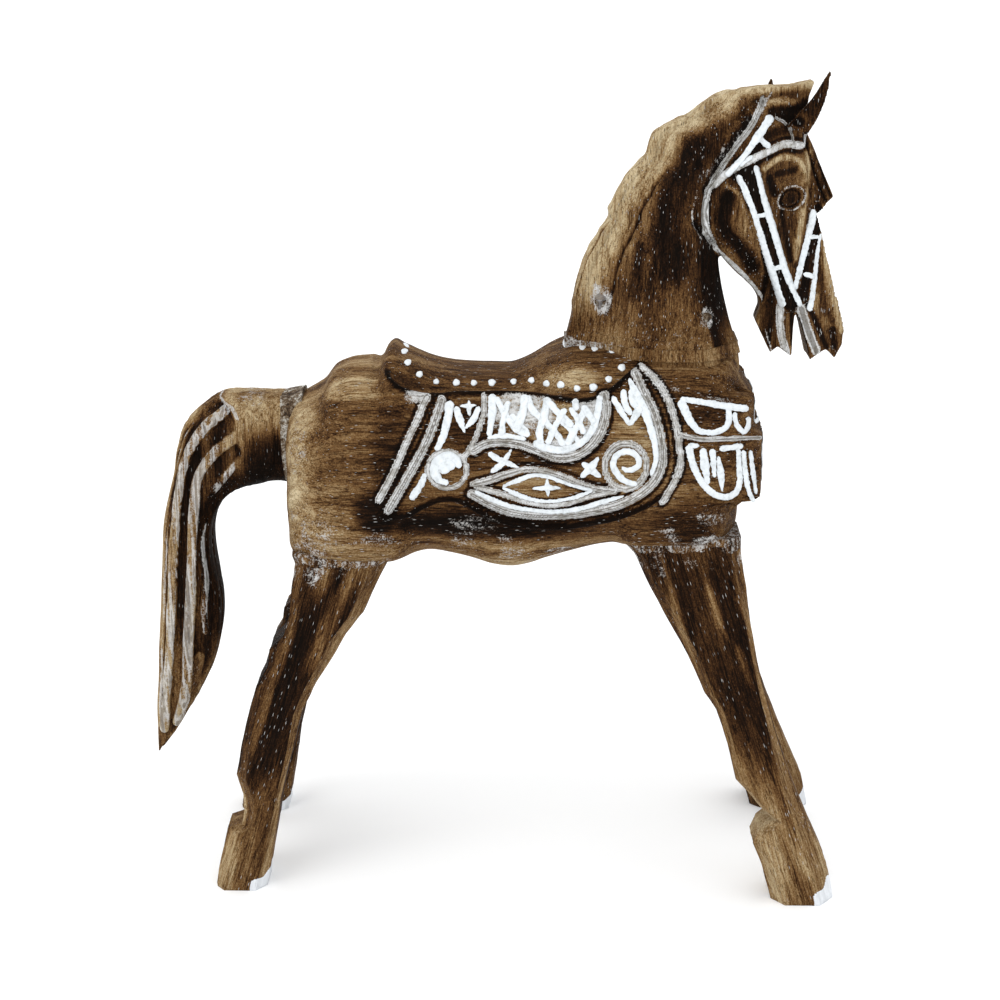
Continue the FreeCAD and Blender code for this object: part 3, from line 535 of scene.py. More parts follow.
# At each height of the head: back of the jaw, cheek, face, and the half widths there.
HEAD_SHAPE = {
    387.0: (124, 132, 148, 4.5, 5.5, 4.5), 383.0: (119, 129.5, 147, 7.5, 10.5, 6.8),
    378.0: (114, 128, 146.5, 10, 14.5, 8), 372.0: (108, 127, 147.5, 13, 17.5, 8.5),
    362.0: (104, 125, 149, 15, 19.5, 9), 350.0: (102.5, 124, 151, 15.5, 20.5, 9),
    338.0: (102.5, 124, 154, 15.5, 21, 8.5), 326.0: (104, 124, 158, 14.5, 20.5, 7.5),
    316.0: (109, 127, 160.5, 12.5, 18.5, 7), 306.0: (117, 133, 163.3, 10, 15.5, 6.5),
    297.0: (127, 139, 165.8, 8, 13, 6.5), 290.0: (131, 144, 167.6, 7.5, 12.5, 6.5),
    286.0: (131.5, 146, 168.6, 7, 12, 6.5),
}
UPPER_LIP = [(149, 296), (148.2, 287), (151.8, 277), (155.7, 261.6), (163.7, 266.6), (168.3, 261.8),
             (171.8, 268.4), (172.3, 275.4), (167.5, 292)]
LOWER_LIP = [(131.2, 293), (131.9, 288), (129.4, 280.5), (137, 264.8), (140.2, 268.2), (146.9, 263.7),
             (147.6, 285), (148.5, 294)]
MANE_CREST = [(77, 367), (93, 377.8), (102, 383.8), (107.4, 387.4), (117, 390), (127, 391.4),
              (142.8, 392.1), (153.5, 394.6), (151, 388), (149, 374), (142, 368), (118, 366)]
FORELOCK = [(143, 377), (150, 371.5), (157.5, 355.5), (164.7, 339.8), (157, 332.8), (151, 345), (142, 362)]

POLL_CUT = [(129.4, 386), (123, 374.5), (115, 363.5), (108, 352), (103.4, 340), (103.2, 329.5),
            (107.6, 318.8)]
BROWBAND = [(106.8, 347.4), (112, 352.4), (118.5, 356.8), (131.6, 363), (139.8, 365.8), (147, 364.8)]
TRIANGLE_FRONT = [(136, 378.5), (140.2, 376), (142.6, 372), (144.2, 366)]
CHEEK_STRAP = [(121.8, 353), (126.6, 338), (133, 321.5), (139.6, 303), (145.6, 289.6)]
NOSE_STRAP = [(157, 334), (155, 321), (153.2, 307), (151.2, 293)]
JAW_HOLLOW = [(97.5, 330), (103.5, 323.5), (108.5, 317.5)]
FORELOCK_CUTS = [[(148.8, 371), (153.4, 356), (158.6, 343), (161.5, 337.6)],
                 [(152.4, 369), (158, 355), (163.4, 341.5)]]
JAW_CREASE = [(131, 316), (133, 306), (132.6, 297), (131.4, 291)]
EYE = (143.6, 340.2)
# Ridges where the burnt skin was rubbed away, and the paler smears of whitewash: line, width and strength.
RUBBED_RIDGES = [
    ([(130, 355), (137, 359.4), (145.6, 358.4), (150.4, 352.5)], 4.5, 0.9),
    ([(151.5, 361), (151, 345), (149, 330), (146.4, 312)], 5.5, 0.85),
    ([(121.6, 349), (124.6, 336), (128.4, 324)], 5.0, 0.9),
    ([(112.5, 347), (118, 343.5), (121, 335), (122, 325)], 3.0, 0.55),
    ([(160, 322), (163.4, 306), (167.5, 289), (171, 276)], 7.0, 0.9),
    ([(134, 330), (139, 316), (144.6, 301)], 3.4, 0.5),
    ([(146, 383.5), (139, 385.5), (132, 384)], 5.0, 0.6), ([(155.6, 333), (161.5, 336.6)], 3.0, 0.6),
]
CHALKY_SMEARS = [
    ([(108.5, 316.4), (118, 307.6), (126, 299.4), (130.8, 291.5), (128.6, 284.5)], 3.8, 0.9),
    ([(140.6, 288), (141.4, 276), (144.2, 265.4)], 7.0, 0.85),
    ([(150.6, 287), (154.6, 276), (159, 266)], 8.5, 0.8), ([(134, 276), (137.4, 266)], 2.4, 0.6),
    ([(166, 268), (170.4, 264)], 2.6, 0.55), ([(150.2, 371), (149.4, 364)], 2.4, 0.7),
    ([(133, 389), (128, 380)], 3.0, 0.6), ([(101.6, 322), (97, 331), (98.5, 345)], 3.0, 0.55),
    ([(104, 352), (110, 362), (119, 372)], 8.0, 0.5), ([(98, 340), (101, 355)], 7.0, 0.42),
]
BURNT_HOLLOWS = [
    ([(146, 376), (137, 379.5)], 7.5, 0.9), ([(113, 341), (112, 328), (119, 318), (126, 308)], 11.0, 0.75),
    ([(133, 350), (136, 343)], 6.0, 0.8), ([(137, 300), (136, 288), (134.4, 270)], 8.5, 0.6),
    ([(153, 290), (158.5, 280), (164, 268)], 4.5, 0.7), ([(150, 282), (154.4, 266)], 2.0, 0.7),
    ([(166.5, 276), (168, 268)], 5.0, 0.6), ([(156.5, 361), (161, 349), (163.6, 341)], 5.0, 0.75),
    ([(152.5, 322), (150.4, 309)], 3.6, 0.8), ([(123, 377), (112, 362), (104, 345)], 7.0, 0.75),
    ([(98, 364), (90, 350), (86, 330), (88, 308)], 22.0, 0.6),
    ([(104, 312), (106, 290), (110, 272)], 8.0, 0.6), ([(72, 318), (70, 295)], 8.0, 0.35),
    ([(151, 384), (143, 381), (134, 381)], 8.0, 0.8), ([(121, 360), (130, 369), (140, 373)], 7.0, 0.6),
    ([(140, 334), (142, 322), (144.6, 311)], 4.5, 0.7), ([(136, 352), (145, 353.5)], 4.5, 0.6),
    ([(156, 316), (160, 300), (163, 284)], 5.0, 0.5), ([(150.4, 347), (149.6, 336)], 2.6, 0.6),
    ([(109, 352), (117, 351), (121, 345)], 4.0, 0.6), ([(146, 288), (147, 270)], 3.0, 0.7),
    ([(162, 292), (166, 280)], 3.0, 0.4),
]


def prism(outline, half):
    """A flat-sided slab: an outline in the upright plane, carried across by half widths."""
    outline, half = np.asarray(outline, float), np.broadcast_to(half, len(outline))
    right = np.column_stack([outline[:, 0], -half, outline[:, 1]])
    left = np.column_stack([outline[:, 0], half, outline[:, 1]])
    n = len(outline)
    sides = [(i, (i + 1) % n, n + (i + 1) % n, n + i) for i in range(n)]
    return np.concatenate([right, left]), [tuple(range(n))[::-1], tuple(range(n, 2 * n))] + sides


def stack(rings):
    """A closed solid through rings of equal count, capped flat at both ends."""
    count, around = rings.shape[:2]
    quads = np.roll(rings_to_quads(count, around)[:, ::-1], 1, axis=1).tolist()
    ends = [tuple(range(around))[::-1], tuple(range((count - 1) * around, count * around))]
    return rings.reshape(-1, 3), quads + ends


def both_sides(right):
    """Closes a section drawn on the right with its mirror image on the left."""
    return np.concatenate([right, right[:, ::-1] * (1, -1, 1)], axis=1)


def neck_rings(z, grow=0.0):
    """Level sections of the neck: thin at the mane, widest past the middle, narrow at the throat."""
    back, front, half, crest = shaped(NECK_SHAPE, z)[:, :, None]
    share = (1 - np.cos(np.linspace(0, np.pi, 26))) / 2
    middle = through([0, 0.25, 0.6, 0.88, 1], [0.30, 0.68, 1, 0.78, 0.34], share)[None, :]
    width = half * middle * rise(share, 0, 0.35) + crest * (1 - rise(share, 0, 0.35))
    grow = np.broadcast_to(grow, len(z))[:, None]
    x = back - grow + (front - back + 2 * grow) * share
    return both_sides(np.stack([x, -width - grow, z[:, None] + 0 * x], axis=2))


def head_rings():
    """Level sections of the head: a six-sided wedge, broad at the cheeks and narrow at the face."""
    z = np.arange(286.0, 387.1, 1.5)
    jaw, cheek, face, *halves = shaped(HEAD_SHAPE, z)
    corners = [np.column_stack([x, -half, z]) for x, half in zip((jaw, cheek, face), halves)]
    return both_sides(np.stack(corners, axis=1))


def ear_rings(root, tip, breadth, side, lean):
    """A cupped leaf: an ellipse carried from root to tip, narrowing to a point, its rims bent outwards."""
    share = np.linspace(0, 1, 22)[:, None]
    root, tip = np.asarray(root, float), np.asarray(tip, float)
    axis = (tip - root) / np.linalg.norm(tip - root)
    across = np.array([axis[2], 0, -axis[0]])
    turn = np.linspace(0, 2 * np.pi, 24, endpoint=False)[None, :]
    wide = breadth * (1 - share) ** 0.85 * (1 + 0.35 * share) + 0.5
    thick = 1.9 * (1 - share) + 0.7
    middle = root + (tip - root) * share + across * lean * np.sin(np.pi * share)
    cup = 3.4 * (1 - 0.6 * share) * np.cos(turn) ** 2
    out = side * (cup - 1.5) + thick * np.sin(turn)
    sideways = (wide * np.cos(turn))[..., None] * across
    return middle[:, None, :] + sideways + out[..., None] * np.array([0, 1, 0])


def fused(name, solids, grain_size, smoothing):
    """Joins overlapping solids into one skin of even small faces, then softens it as sanding does."""
    points, faces, first = [], [], 0
    for own, sides in solids:
        points.append(own)
        faces += [tuple(int(k) + first for k in side) for side in sides]
        first += len(own)
    mesh = bpy.data.meshes.new(name + "_rough")
    mesh.from_pydata((np.concatenate(points) * METRE).tolist(), [], faces)
    rough = placed(name + "_rough", mesh)
    remesh = rough.modifiers.new("even_skin", "REMESH")
    remesh.mode, remesh.voxel_size = "VOXEL", grain_size * METRE
    smooth = rough.modifiers.new("sanding", "SMOOTH")
    smooth.iterations, smooth.factor = smoothing, 0.5
    ready = rough.evaluated_get(bpy.context.evaluated_depsgraph_get())
    skin_mesh = bpy.data.meshes.new_from_object(ready)
    bpy.data.objects.remove(rough)
    skin_mesh.name = name
    return skin_mesh


def places(mesh):
    """A mesh's points and their outward directions, in millimetres."""
    count = len(mesh.vertices)
    points, normals = np.empty(count * 3), np.empty(count * 3)
    mesh.vertices.foreach_get("co", points)
    mesh.vertex_normals.foreach_get("vector", normals)
    return points.reshape(-1, 3) / METRE, normals.reshape(-1, 3)


def marked(x, z, marks):
    """The strongest of several soft strokes, each full on its drawn line and gone at half its width."""
    return most(*[
        power * (1 - rise(away(x, z, drawn(line)) * 2 / width, 0.25, 1.0)) for line, width, power in marks])


def head_carving(x, z):
    """One side's carving on the head and neck: its height, and how much wash, char and rubbing it takes."""
    band, poll = away(x, z, drawn(BROWBAND)), cut(x, z, POLL_CUT, 3.2, 2.0)
    cheek, nose = away(x, z, drawn(CHEEK_STRAP)), away(x, z, drawn(NOSE_STRAP))
    cheek_half = 4.6 - 1.2 * rise(349 - z, 0, 60)
    height = most(1.1 * (1 - rise(band, 1.4, 2.0)), 1.2 * (1 - rise(cheek, cheek_half, cheek_half + 0.8)),
                  0.9 * (1 - rise(nose, 2.8, 3.5)))
    triangle = cut(x, z, TRIANGLE_FRONT, 2.8, 1.3)
    crease = np.minimum(cut(x, z, JAW_HOLLOW, 3.4, 1.8), cut(x, z, JAW_CREASE, 4.0, 1.8))
    for line in FORELOCK_CUTS:
        crease = np.minimum(crease, cut(x, z, line, 2.2, 1.4))
    dx, dz = x - EYE[0], z - EYE[1]
    tilt = np.radians(20)
    u, v = dx * np.cos(tilt) + dz * np.sin(tilt), -dx * np.sin(tilt) + dz * np.cos(tilt)
    lid = np.hypot(u / 7.4, v / (5.9 - 1.6 * rise(-u, 0, 7)))
    rim = bell(lid, 0.95, 0.2)
    ball = np.sqrt(np.clip(1 - (lid / 0.66) ** 2, 0, 1))
    socket = patch(x, z, EYE[0] - 1, EYE[1] + 1, 15, 12)
    rubbed, chalky, burnt = (marked(x, z, marks) for marks in (RUBBED_RIDGES, CHALKY_SMEARS, BURNT_HOLLOWS))
    height = height + poll + np.minimum(triangle, crease) - 1.8 * socket + 1.5 * rim * socket + 1.5 * ball
    height += 1.0 * rubbed - 0.7 * burnt
    height += 1.3 * patch(x, z, 115, 330, 14, 18) - 1.2 * patch(x, z, 165.8, 272.5, 4.0, 5.5)
    height -= 1.2 * patch(x, z, 140, 378, 12, 8)

    edge = bell(cheek, cheek_half + 1.0, 0.7) + bell(nose, 3.8, 0.6)
    wash = most(
        0.70 * rise(-poll, 0.1, 0.4) + 0.30 * np.clip(-poll / 2.0, 0, 1),
        0.85 * (1 - rise(band, 1.4, 2.5)), 0.8 * rise(-triangle, 0.2, 0.8),
        0.42 * rise(-cut(x + 3, z, POLL_CUT, 11.0, 1.0), 0.2, 0.9),
        0.62 * rim, chalky, 0.55 * np.clip(edge, 0, 1))
    char = most(
        0.8 * (1 - rise(cheek, cheek_half - 1.0, cheek_half)), 0.7 * (1 - rise(nose, 2.0, 3.0)),
        burnt, 0.9 * rise(-crease, 0.3, 1.1), 0.95 * bell(lid, 0.66, 0.11), 0.55 * (1 - rise(lid, 0.3, 0.7)),
        0.85 * bell(band, 3.0, 0.7) * rise(x, 112, 118))
    return height, wash, char * (1 - 0.8 * rise(wash, 0.6, 0.85)), rubbed


def neck_and_head():
    """The rough solids fused into one skin, then carved point by point along its outward directions."""
    solids = [
        stack(neck_rings(np.arange(256.0, 390.1, 1.5))), stack(head_rings()),
        prism(UPPER_LIP, np.interp([p[0] for p in UPPER_LIP], [148, 156, 172.4], [12.3, 11.5, 6.6])),
        prism(LOWER_LIP, np.interp([p[0] for p in LOWER_LIP], [129, 137, 148.5], [6.5, 9.0, 11.5])),
        prism(MANE_CREST, 6.2), prism(FORELOCK, [7.5, 7.5, 6.5, 3.5, 4.0, 6, 7.5]),
        stack(ear_rings((145.0, -12.5, 372.5), (159.3, -14.0, 399.6), 4.6, -1, 1.8)),
        stack(ear_rings((131.5, 12.5, 370.0), (134.8, 13.5, 393.8), 4.6, 1, 0.8)),
    ]
    mesh = fused("carved_neck_and_head", solids, 0.76, 2)
    points, normals = places(mesh)
    x, y, z = points.T
    ear = rise((x - 146) * 0.47 + (z - 376) * 0.88, 2, 7) * rise(np.abs(y), 7.5, 9.5)
    facing = rise(np.abs(normals[:, 1]), 0.25, 0.6) * (1 - ear)
    height, wash, char, rubbed = head_carving(x, z)
    inward = x - shaped(NECK_SHAPE, z)[0]
    mane = (1 - rise(inward + 5 * lumps(points * (1, 1, 0.3), 12.0, 12), 5, 24)) * rise(z, 272, 300)
    locks = np.abs(np.sin((x + 0.30 * z) * 0.40 + 1.3 * lumps(points * (1, 1, 0.25), 20.0, 8)))
    locks = locks * rise(inward, 4, 12) * ((1 - rise(x, 94, 104)) * rise(z, 275, 310))
    ragged = lumps(points * (1, 0.4, 0.5), 4.5, 9) * (1 - rise(inward, 0, 6)) * rise(z, 270, 276)
    lump = 0.30 * lumps(points * (1, 1, 0.4), 9.0, 10) + 0.16 * lumps(points * (1, 1, 0.3), 2.6, 11)
    combed = 1 - rise(np.abs(np.sin(y * 0.42 + 0.8 * lumps(points, 25.0, 14))), 0.0, 0.5)
    combed *= rise(-normals[:, 0], 0.35, 0.7) * rise(z, 275, 300) * (x < 135)
    move = height * facing - 0.9 * (1 - locks) * (locks > 0) * facing + 1.4 * ragged + lump - 1.0 * combed
    points = points + normals * move[:, None]
    mesh.vertices.foreach_set("co", (points * METRE).ravel())
    mesh.update()

    crown = rise(z - 0.10 * (x - 120), 386, 389.5) * (1 - ear)
    tan = most(1.1 * mane, 0.95 * crown, rubbed * facing, 0.30 * (1 - rise(z, 262, 300)),
               patches(x, z, [(0.52, 160, 296, 14, 34), (0.35, 116, 322, 16, 22)]) * facing)
    across = rise(np.abs(normals[:, 1]), 0.3, 0.7)
    char = most(char * facing * (1 - ear), 0.30 * ear * across) * (1 - 0.85 * rise(mane, 0.4, 0.9))
    # Painted shade: the front of the neck low down, under the hanging head, is painted dark.
    throat = 0.75 * rise(normals[:, 0], 0.5, 0.9) * rise(z, 268, 290) * (x < 127)
    char = most(char * (1 - 0.8 * crown), throat, 0.7 * combed)
    seam = bell(z + 3 * lumps(points, 12.0, 13), 270, 4.0) * (1 - rise(x, 60, 110))
    round_nails = patches(x, z, [(0.40, 78, 278, 40, 14), (0.60, 54, 292, 10, 14), (0.56, 104.5, 285, 7, 10)])
    wash = most(wash * facing * (1 - ear), 0.55 * ear * (1 - across), 0.55 * seam, round_nails * facing,
                0.34 * mane)
    finish = np.stack([wash, char, tan * (1 - 0.8 * rise(char, 0.4, 0.9)), 0 * x], axis=1)
    return finished("carved_neck_and_head", mesh, finish, torched_wood("head_wood", lightness=-0.05))


head_piece = neck_and_head()
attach(head_piece, "root")
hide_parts("neck_and_head")

# ------------------------------------------------------------------ tail
# A separate block, doweled and puttied to the rump. Long locks are cut down it with a V gouge; their crests
# are left pale and greyed with whitewash, and the gaps between them are burnt dark.

# Matching points on the tail's outer and inner edge, from the rump to the tip, with the half width there.
TAIL_SHAPE = [
    ((-92, 243), (-92, 197), 17), ((-106, 242.4), (-104, 198), 17.5), ((-118, 243), (-113, 196.6), 18),
    ((-131, 242.3), (-121, 194.6), 18.5), ((-141, 236), (-127.5, 191.6), 19),
    ((-149, 228.5), (-132, 188), 19.3), ((-154, 217), (-135.8, 182), 19.3),
    ((-156.5, 203), (-138, 175.5), 19), ((-160, 189), (-138.9, 168.6), 18.6),
    ((-162.6, 176.5), (-138.6, 160), 18.2), ((-164, 162), (-137, 148), 17.8),
    ((-165.5, 145), (-135.4, 136), 17.2), ((-167, 127), (-136, 122), 16.2),
    ((-168.8, 108), (-140, 104), 14.6), ((-170, 92), (-146, 90), 12.4), ((-171.6, 77), (-153, 77), 9.6),
    ((-172.2, 62), (-161.6, 63), 6.2), ((-172.3, 50), (-168.8, 53), 2.6),
]
# The raised locks: centre line, width and height. Between them the wood is gouged out and burnt.
TAIL_LOCKS = [
    ([(-127, 238), (-139.5, 227.4), (-147.8, 214.4), (-152.6, 197.4), (-156.4, 170.9), (-160.2, 129),
      (-164, 95), (-168, 64)], 4.6, 2.2),
    ([(-122.4, 224), (-134.6, 214.8), (-142, 204.5), (-145.2, 187), (-147.6, 160), (-151.2, 120),
      (-155.4, 84), (-160, 68)], 5.0, 2.6),
    ([(-122, 211.4), (-130, 202), (-135, 195.5)], 3.4, 1.8),
    ([(-138.2, 178), (-141, 166), (-140.2, 152), (-142.6, 132), (-142.4, 120)], 3.0, 1.7),
    ([(-143, 238), (-151, 224), (-156.4, 205), (-160.6, 186), (-163.8, 160), (-166.6, 127), (-169, 97),
      (-171, 66)], 3.4, 1.4),
    ([(-146, 106), (-150, 90), (-158, 74)], 6.0, 0.9),
]


def tail_section(at, grow=0.0):
    """Rings of a squarish superellipse between an outer and an inner edge, at lengths along the tail."""
    outer, inner = (np.array([row[k] for row in TAIL_SHAPE], float) for k in (0, 1))
    half = np.array([row[2] for row in TAIL_SHAPE], float)
    run = np.r_[0, np.cumsum(np.linalg.norm(np.diff((outer + inner) / 2, axis=0), axis=1))]
    at = np.asarray(at) * run[-1]
    outer, inner, half = through(run, outer, at), through(run, inner, at), through(run, half, at)
    middle, reach = (outer + inner) / 2, (outer - inner) / 2
    longer = 1 + np.broadcast_to(grow, len(at)) / np.linalg.norm(reach, axis=1)
    turn = np.linspace(0, 2 * np.pi, 190, endpoint=False)
    radius = (np.abs(np.cos(turn)) ** 2.9 + np.abs(np.sin(turn)) ** 2.9) ** (-1 / 2.9)
    deep, wide = radius * np.cos(turn), radius * np.sin(turn)
    flat = middle[:, None] + (reach * longer[:, None])[:, None] * deep[None, :, None]
    return np.stack([flat[..., 0], (half + grow)[:, None] * wide, flat[..., 1]], axis=2), deep, half


def tail():
    """The tail: its locks stand between gouged hollows on both sides, with flutes down its back."""
    at = np.linspace(0, 1, 300)
    rows, deep, half = tail_section(at)
    out = skin(rows)
    facing = rise(np.abs(out[..., 1]), 0.2, 0.6)
    x, z = rows[..., 0], rows[..., 2]
    start = np.interp(z, [195, 215, 231, 238, 244], [124, 122, 123, 127, 138])
    carved = rise(-x + 2.5 * lumps(rows, 8.0, 24), start - 1.5, start + 1.5)
    spread = 1.12 + 0.25 * lumps(rows, 12.0, 26)
    crest = most(*[tall * np.clip(1.5 - np.abs(away(x, z, drawn(line)) * 2 / (width * spread)) ** 4, 0, 1)
                   for line, width, tall in TAIL_LOCKS])
    top = rise(crest, 0.3, 1.4)
    valley = np.abs(np.sin(rows[..., 1] * 0.30 + 0.6 + 0.5 * lumps(rows, 30.0, 27)))
    flutes = 1.5 * (1 - rise(valley, 0.0, 0.6)) * (1 - facing) * carved
    lump = 0.35 * lumps(rows * (1, 1, 0.25), 6.0, 21) + 0.22 * lumps(rows * (1.6, 1, 0.10), 2.4, 22)
    taper = np.minimum(1, half / 9)[:, None]
    rows = rows + out * ((crest - 2.4) * facing * carved * taper - flutes * taper + lump * taper)[..., None]

    sooty = 1 - 0.7 * rise(lumps(rows * (1.5, 1, 0.12), 9.0, 25), -0.2, 0.4)
    char = 0.75 * (1 - top) * carved * facing * sooty
    inner_edge = rise(-deep, 0.30, 0.8) * (1 - rise(at, 0.62, 0.76))[:, None]
    char = most(
        char, 0.62 * inner_edge, 0.8 * (1 - rise(valley, 0.1, 0.45)) * (1 - facing) * carved,
        # painted shade: a broad dark patch low on the tail's root, where it meets the rump
        0.9 * patch(x, z, -104, 205, 26, 30) * facing,
        0.8 * bell(-x, start + 0.9, 0.9) * facing * rise(z, 225, 234))
    strands = rise(lumps(rows * (1.6, 1, 0.08), 2.3, 28), -0.35, 0.25)
    wash = most(
        top * carved * facing * (0.48 + 0.30 * strands) + 0.2 * (1 - facing) * carved,
        0.9 * bell(-x, start - 1.6, 1.3) * rise(z, 228, 234), 0.5 * patch(x, z, -116, 241, 14, 6),
        0.5 * (1 - rise(at, 0.03, 0.07))[:, None], 0.45 * patch(x, z, -152, 96, 7, 18) * facing)
    tan = 0.52 * (1 - char) * (1 - 0.5 * inner_edge) * (0.45 + 0.55 * np.maximum(top, 1 - carved))
    finish = np.stack([wash, char, tan, 0 * x], axis=2)
    return block("carved_tail", rows[:, ::-1], finish[:, ::-1],
                 torched_wood("tail_wood", flecks=0.5, wash_cover=0.66))


tail_piece = tail()
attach(tail_piece, "root")
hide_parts("tail")

# ------------------------------------------------------------------ legs
# Four posts split from straight-grained stock, cut with flat knife facets, stepped behind the fetlock, and
# doweled under the torso. They are darkest at the top and pale straw at the hooves, with white toes. The
# right legs are painted paler as lit, and the left legs darker as painted shade.

# Height: rear edge and front edge.
HIND_LEG = [
    (168, -95.5, -42), (164, -94.3, -49), (152, -96, -54.8), (139, -97, -61), (128.5, -100.2, -69.5),
    (122.2, -106.9, -73.2), (113.5, -108.2, -78.3), (103, -114.1, -85), (90, -118, -91.6),
    (72, -122.4, -96), (57, -125.2, -100), (46.6, -122.1, -102.5), (38.5, -121.4, -103.8),
    (31.8, -122.6, -105), (29.4, -130, -105.6), (14, -133.4, -108), (2, -135.8, -110), (0, -135.2, -110.2),
]
FORE_LEG = [
    (177, 66, 123.4), (171, 71.3, 123.8), (155, 78.9, 126.3), (139, 87.9, 128.5), (121, 98.4, 131.8),
    (103, 106.6, 136), (95, 112.6, 138.5), (79, 118.2, 143.4), (61.5, 122.6, 149.6), (54.7, 129, 152.4),
    (45.4, 136.8, 156.2), (41.2, 142, 158), (35.6, 134.4, 160.5), (29, 131.6, 163.6), (17.5, 136.3, 168.6),
    (2, 140.6, 172.3), (0, 141.2, 172),
]


def leg_section(shape, side, top_out, sole_out, seed, z, grow=0.0):
    """Level eight-sided sections of a leg, whose corner facets widen and narrow as the knife left them."""
    table = np.array(shape[::-1], float)
    back, front = np.interp(z, table[:, 0], table[:, 1]) - grow, np.interp(z, table[:, 0], table[:, 2]) + grow
    up = z / table[-1, 0]
    out = top_out * up + sole_out * (1 - up)
    half = 16.5 * up + 13.8 * (1 - up) + grow
    facet_in, room = 5.0, (front - back) / 3
    facet_front = np.minimum(5.0 + 2.5 * np.sin(z / 31 + seed), room)
    facet_back = np.minimum(4.5 + 2.0 * np.sin(z / 23 + 2 * seed), room)
    corners = [
        (back + facet_back, -half), (front - facet_front, -half), (front, -half + facet_front * 1.3),
        (front, half - facet_in), (front - facet_in, half), (back + facet_in, half), (back, half - facet_in),
        (back, -half + facet_back * 1.2),
    ]
    edge = np.stack([np.column_stack([x, y]) for x, y in corners], axis=1)
    share = np.linspace(0, 1, 13, endpoint=False)[None, None, :, None]
    ring = edge[:, :, None, :] * (1 - share) + np.roll(edge, -1, axis=1)[:, :, None, :] * share
    ring = ring.reshape(len(z), -1, 2)
    y = side * (out[:, None] - ring[..., 1])
    rows = np.stack([ring[..., 0], y, z[:, None] + 0 * y], axis=2)
    return (rows[:, ::-1] if side > 0 else rows), back, front


def leg(name, shape, side, top_out, sole_out, material, seed):
    """The leg's sections from sole to top, fluted along the split grain, with small chips off its edges."""
    knots = np.array(shape[::-1], float)[:, 0]
    tall = knots[-1]
    z = np.concatenate([np.linspace(a, b, max(2, int((b - a) / 0.85)), endpoint=False)
                        for a, b in zip(knots[:-1], knots[1:])] + [knots[-1:]])
    rows, back, front = leg_section(shape, side, top_out, sole_out, seed, z)
    outward = skin(rows)
    lean = (shape[-1][1] + shape[-1][2] - shape[0][1] - shape[0][2]) / 2
    slanted = rows - np.array([lean, 0, 0]) * (1 - rows[..., 2:3] / tall)
    flutes = -0.55 * np.abs(lumps(slanted * (1, 1, 0.05), 4.5, seed + 30))
    chips = 0.22 * lumps(rows * (1, 1, 0.35), 3.5, seed + 31)
    hold = rise(z, 0, 3)[:, None] * (1 - rise(z, tall - 4, tall))[:, None]
    rows = rows + outward * ((flutes + chips) * hold)[..., None] * (1, 1, 0)

    # The right legs are painted as the lit ones: paler fore foot, pale heels and pale facet edges with less
    # char as painted highlights; the left legs stay darker as painted shade.
    painted_lit_side, fore = side < 0, shape is FORE_LEG
    height = rows[..., 2] / tall
    behind = (rows[..., 0] - back[:, None]) / (front - back)[:, None]
    streaks = lumps(slanted * (1, 1, 0.04), 5.0, seed + 33)
    bevel = 1 - rise(np.abs(np.abs(outward[..., 0]) - np.abs(outward[..., 1])), 0.25, 0.6)
    burnt_from = 0.24 if fore else 0.02
    char = 0.46 * rise(height, burnt_from, burnt_from + 0.36) * (1 - rise(height, 0.88, 1.0) * 0.5)
    char *= (1 - 0.8 * rise(streaks, -0.1, 0.5)) * (1 - 0.6 * bevel * painted_lit_side)
    wash = most(
        0.62 * rise(height, 0.80, 0.94) * (0.62 + 0.38 * lumps(rows, 7.0, seed + 32)),
        0.6 * rise(0.12 - behind, 0, 0.12) * rise(height, 0.84, 0.95), 0.22 * (1 - rise(height, 0.1, 0.5)))
    foot = 0.15 if not fore else 0.62 if painted_lit_side else 0.2
    edge_highlight = 0.15 + 0.22 * rise(behind, 0.6, 0.8) if painted_lit_side else 0.03
    heel = 0.5 * (1 - rise(behind, 0.25, 0.42)) * (1 - rise(rows[..., 2], 28, 34)) * painted_lit_side
    tan = most(
        foot * (1 - rise(height, 0.12, 0.5)) * (1 - 0.6 * rise(streaks, 0.0, 0.5)),
        bevel * edge_highlight * (1 - 0.5 * rise(height, 0.8, 0.95)),
        0.35 * rise(streaks, 0.2, 0.7) * rise(height, 0.3, 0.5), heel * (1 - 0.6 * rise(streaks, 0.1, 0.5)),
        0.9 * bell(rows[..., 2], 45, 15) * rise(0.15 - behind, 0, 0.12))
    toe, slope = (11.0, 22) if fore else (8.5, 13)
    toe_line = toe - (1 - behind) * slope + 1.2 * np.sin(rows[..., 1] * 0.7)
    paint = rise(behind, 0.66, 0.70) * rise(toe_line - rows[..., 2], -0.6, 0.6)
    finish = np.stack([wash, char * (1 - 0.8 * tan), tan, paint], axis=2)
    return block(name, rows[:, ::-1], finish[:, ::-1], material)


LEGS = []
for fore, shape, top_out, sole_out, splay, rake in (
        ("fore", FORE_LEG, 23.5, 56.5, 0.184, 0.316), ("hind", HIND_LEG, 23.5, 46.0, 0.133, -0.300)):
    for word, side in (("right", -1), ("left", 1)):
        grain = torched_wood(f"{fore}_leg_wood_{word}", tilt=(-side * splay, rake, 0), lightness=-0.03,
                             flecks=0.9)
        LEGS.append((f"{fore}_leg_{word}", shape, side, top_out, sole_out, grain, len(LEGS) + 1))
for node, shape, side, top_out, sole_out, wood, seed in LEGS:
    piece = leg("carved_" + node, shape, side, top_out, sole_out, wood, seed)
    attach(piece, "root")
    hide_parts(node)

# ------------------------------------------------------------------ putty
# Sawdust-and-glue putty smeared round every glued joint and over the nail heads: lumpy, pale, and speckled
# where the torch and the brown stain caught it.

